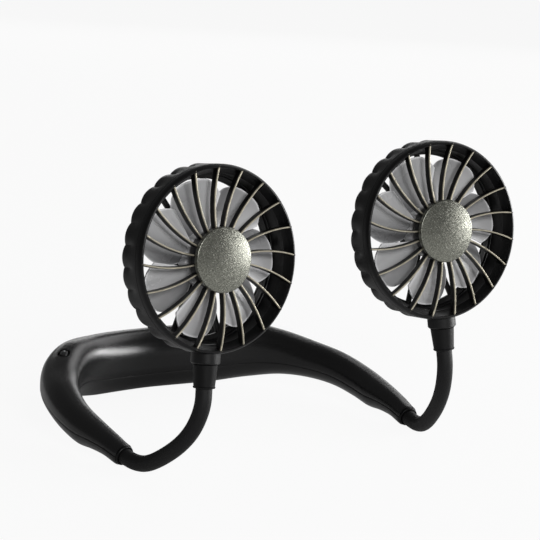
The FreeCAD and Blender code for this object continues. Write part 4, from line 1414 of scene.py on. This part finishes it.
    def cut(self, piece: bpy.types.Object, tools: list[tuple[Blank, Matrix]]) -> None:
        """Cut openings in a shell.

        Args:
            piece: The shell.
            tools: Closed shapes to take away, with their places.
        """
        cutters = [blank.finish("opening", place, []) for blank, place in tools]
        for cutter in cutters:
            opening = piece.modifiers.new("opening", "BOOLEAN")
            opening.solver = "EXACT"
            opening.operation = "DIFFERENCE"
            opening.object = cutter
        bpy.context.view_layer.update()
        whole = piece.data
        cut_piece = piece.evaluated_get(bpy.context.evaluated_depsgraph_get())
        piece.data = bpy.data.meshes.new_from_object(cut_piece)
        piece.modifiers.clear()
        piece.data.name = whole.name
        bpy.data.meshes.remove(whole)
        for cutter in cutters:
            bpy.data.meshes.remove(cutter.data)
        piece.data.set_sharp_from_angle(angle=SHARP_TURN)

    def crest(self, place: float) -> Vector:
        """Point on the top of the band."""
        section = self.section(place)
        return section.centre + section.upward * section.half_height

    def button_place(self) -> Matrix:
        """Frame of the button: Z out of the band, X along it towards the back.

        Returns:
            Matrix from that frame to the frame of the solids.
        """
        upward = -Vector(joint("power_button_press")["axis"]).normalized()
        span = self.button_span
        along = self.crest(self.button_share + span) - self.crest(self.button_share - span)
        along = (along - upward * along.dot(upward)).normalized()
        return axis_place(self.crest(self.button_share), upward, along)

    def oval(self, blank: Blank, grow: float, top: float, depth: float) -> list[bmesh.types.BMVert]:
        """Upright bar with an oval section.

        Args:
            blank: Mesh to add it to.
            grow: How much larger than the button it is all round.
            top: Height of its top.
            depth: How far it reaches down from there.

        Returns:
            Its vertices.
        """
        disc = bmesh.ops.create_circle(blank.bm, cap_ends=True, segments=self.button_facets,
                                       radius=self.button_width / 2 + grow)["verts"]
        for vert in disc:
            vert.co.x += math.copysign((self.button_length - self.button_width) / 2, vert.co.x)
            vert.co.z = top
        faces = list({face for vert in disc for face in vert.link_faces})
        low = bmesh.ops.extrude_face_region(blank.bm, geom=faces)["geom"]
        lowered = [item for item in low if isinstance(item, bmesh.types.BMVert)]
        bmesh.ops.translate(blank.bm, vec=(0, 0, -depth), verts=lowered)
        return disc + lowered

    def button(self) -> None:
        """Oval button with a rounded top and a small light near its end."""
        blank = Blank()
        pill = self.oval(blank, -self.button_shy, self.button_top, self.button_reach)
        blank.round_edges(self.button_round, 4, pill)
        lens = bmesh.ops.create_cone(blank.bm, cap_ends=True, segments=self.light_facets,
                                     radius1=self.light_radius, radius2=self.light_radius * self.light_taper,
                                     depth=self.light_height)["verts"]
        lens_place = (self.button_length / 2 - self.light_inset, 0, self.button_top)
        bmesh.ops.translate(blank.bm, vec=lens_place, verts=lens)
        for face in {face for vert in lens for face in vert.link_faces}:
            face.material_index = 1
        piece = blank.finish("oval_button", self.button_place(),
                             [self.paints.of(BUTTON_BLACK), self.paints.of(LENS_WHITE)])
        settle(piece, "button", "power_button")

    def shells(self) -> None:
        """Both shells, with the openings for the button, the charging plug and the screws."""
        hole = Blank()
        self.oval(hole, self.hole_gap, self.hole_top, self.hole_depth)
        port = Blank()
        port_box = port.bar(Vector((self.port_height, self.port_width, self.port_reach)), Vector((0, 0, 0)))
        port.round_edges(self.port_round, 4, port_box)
        mount = next(item for item in frame["record"]["mounts"] if item["name"] == "charge_port")
        button_place = self.button_place()
        port_place = axis_place(Vector(mount["pos_m"]), Vector(mount["axis"]), button_place.to_3x3().col[2])
        wells = []
        for share in self.well_shares:
            well = Blank()
            bmesh.ops.create_cone(well.bm, cap_ends=True, segments=self.well_facets, radius1=self.well_radius,
                                  radius2=self.well_radius, depth=2 * self.well_depth)
            section = self.section(share)
            wells.append((well, Matrix.Translation(section.centre - Vector((0, 0, section.half_height)))))
        for shell, tools in ((Shell.UPPER, [(hole, button_place), (port, port_place)]), (Shell.LOWER, wells)):
            name = shell.name.lower()
            piece = self.shell_blank(shell).finish(f"{name}_band_shell", Matrix(), [self.paints.of(SHELL)])
            self.cut(piece, tools)
            settle(piece, "neckband", f"{name}_shell")

    def build(self) -> None:
        """Build the shells and the button, and dress the solids inside."""
        self.shells()
        self.button()
        for node, finish in (("shell_screws", SCREW_STEEL), ("left_battery_cell", CELL_FOIL),
                             ("right_battery_cell", CELL_FOIL), ("control_board", BOARD_GREEN),
                             ("tact_switch", DARK_FITTING), ("charge_socket", SCREW_STEEL),
                             ("band_wiring", WIRE_RED)):
            dress(node, self.paints.of(finish))


@dataclass(frozen=True)
class SoftBox:
    """Rectangular lamp: where it stands, its width and height, and its power in watts."""

    name: str
    place: tuple[float, float, float]
    size: Pair
    power: float


@dataclass
class Studio:
    """Pale floor, soft lights and the camera."""

    floor_half: float = 6.0
    floor_drop: float = 0.0003
    floor_colour: Colour = (0.75, 0.75, 0.75)
    floor_glow: float = 0.92
    ambient: float = 0.14
    gloss_share: float = 0.07
    floor_gloss: float = 1.0
    floor_lit_right: float = 0.45
    floor_lit_front: float = 0.9
    floor_lit_from: float = 0.12
    floor_lit_full: float = 0.5
    target: tuple[float, float, float] = (0.0, -0.101789, 0.077741)
    distance: float = 1.036
    back: tuple[float, float, float] = (-0.5616, -0.80129, 0.20628)
    right: tuple[float, float, float] = (0.82411, -0.56396, 0.05296)
    lens: float = 157.6
    sensor: float = 36.0
    sight: Pair = (0.05, 50)
    lamp_aim: tuple[float, float, float] = (0, -0.08, 0.05)
    lamps: tuple[SoftBox, ...] = (
        SoftBox("right_strip", (1.15, -0.39, 0.2), (1.15, 0.28), 15.5),
        SoftBox("top_box", (1.01, 0.24, 0.8), (0.9, 0.6), 3),
        SoftBox("back_strip", (0.95, 1.25, 0.3), (1.2, 0.3), 2),
        SoftBox("front_fill", (-0.35, -1.5, 0.75), (0.5, 0.4), 13),
    )

    def camera(self) -> None:
        """Camera at the view of the photograph."""
        data = bpy.data.cameras.new("camera")
        data.lens = self.lens
        data.sensor_width = self.sensor
        data.clip_start, data.clip_end = self.sight
        camera = bpy.data.objects.new("camera", data)
        back = Vector(self.back).normalized()
        right = Vector(self.right)
        right = (right - back * right.dot(back)).normalized()
        camera.matrix_world = Matrix((right, back.cross(right), back)).transposed().to_4x4()
        camera.location = Vector(self.target) + back * self.distance
        bpy.context.scene.collection.objects.link(camera)
        bpy.context.scene.camera = camera

    def seen(self, graph: Graph, gloss_share: "float | Socket") -> Socket:
        """How much of the white surroundings a ray meets.

        Args:
            graph: Node graph to work in.
            gloss_share: Share met by rays off glossy pieces. Those from the camera and through clear pieces
                meet all.

        Returns:
            The share, 0 for light that falls on the pieces.
        """
        camera, gloss, clear = [graph.node("ShaderNodeLightPath", output=f"Is {kind} Ray")
                                for kind in ("Camera", "Glossy", "Transmission")]
        return camera.larger(clear).larger(gloss * gloss_share)

    def floor(self) -> None:
        """Pale floor that keeps a light shadow of the object."""
        blank = Blank()
        bmesh.ops.create_grid(blank.bm, x_segments=2, y_segments=2, size=self.floor_half)
        material, graph = new_graph("floor_white")
        paint = graph.node("ShaderNodeBsdfDiffuse", None, {"Color": (*self.floor_colour, 1)})
        glow = graph.node("ShaderNodeEmission", None, {"Color": WHITE, "Strength": 1})
        # Painted light: over a patch in front of the object and to its right, the floor glows more strongly in
        # reflections than elsewhere.
        across, along = [graph.node("ShaderNodeSeparateXYZ", None, {"Vector": graph.object_point()}, axis)
                         for axis in "XY"]
        ahead = across * self.floor_lit_right - along * self.floor_lit_front
        lit = ahead.over(self.floor_lit_from, self.floor_lit_full)
        gloss_share = lit * (self.floor_gloss - self.gloss_share) + self.gloss_share
        share = self.seen(graph, gloss_share) * self.floor_glow
        shader = graph.node("ShaderNodeMixShader", None, {0: share, 1: paint, 2: glow})
        graph.node("ShaderNodeOutputMaterial", None, {"Surface": shader})
        floor = blank.finish("floor", Matrix.Translation((0, 0, -self.floor_drop)), [material])

    def world(self) -> None:
        """White surroundings that light the object at a plain level."""
        world = bpy.data.worlds.new("studio")
        world.use_nodes = True
        graph = Graph(world.node_tree)
        strength = self.seen(graph, self.gloss_share).larger(self.ambient)
        glow = graph.node("ShaderNodeBackground", None, {"Color": WHITE, "Strength": strength})
        graph.node("ShaderNodeOutputWorld", None, {"Surface": glow})
        bpy.context.scene.world = world

    def lamp(self, box: SoftBox) -> None:
        """Hang a lamp that faces the object.

        Args:
            box: The lamp.
        """
        data = bpy.data.lights.new(box.name, "AREA")
        data.shape = "RECTANGLE"
        data.size, data.size_y = box.size
        data.energy = box.power
        lamp = bpy.data.objects.new(box.name, data)
        lamp.location = box.place
        lamp.rotation_mode = "QUATERNION"
        lamp.rotation_quaternion = (Vector(box.place) - Vector(self.lamp_aim)).to_track_quat("Z", "Y")
        bpy.context.scene.collection.objects.link(lamp)

    def build(self) -> None:
        """Set up the studio."""
        bpy.context.scene.view_settings.view_transform = "Standard"
        self.camera()
        self.floor()
        self.world()
        for box in self.lamps:
            self.lamp(box)


def main() -> None:
    """Build the neck fan and the studio around it."""
    logging.basicConfig(level=logging.INFO, format="%(name)s %(message)s")
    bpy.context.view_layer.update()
    paints = Paints()
    Studio().build()
    NeckBand(paints).build()
    for side in Side:
        Arm(side, paints).build()
        FanHead(side, paints).build()


if __name__ == "__main__":
    main()
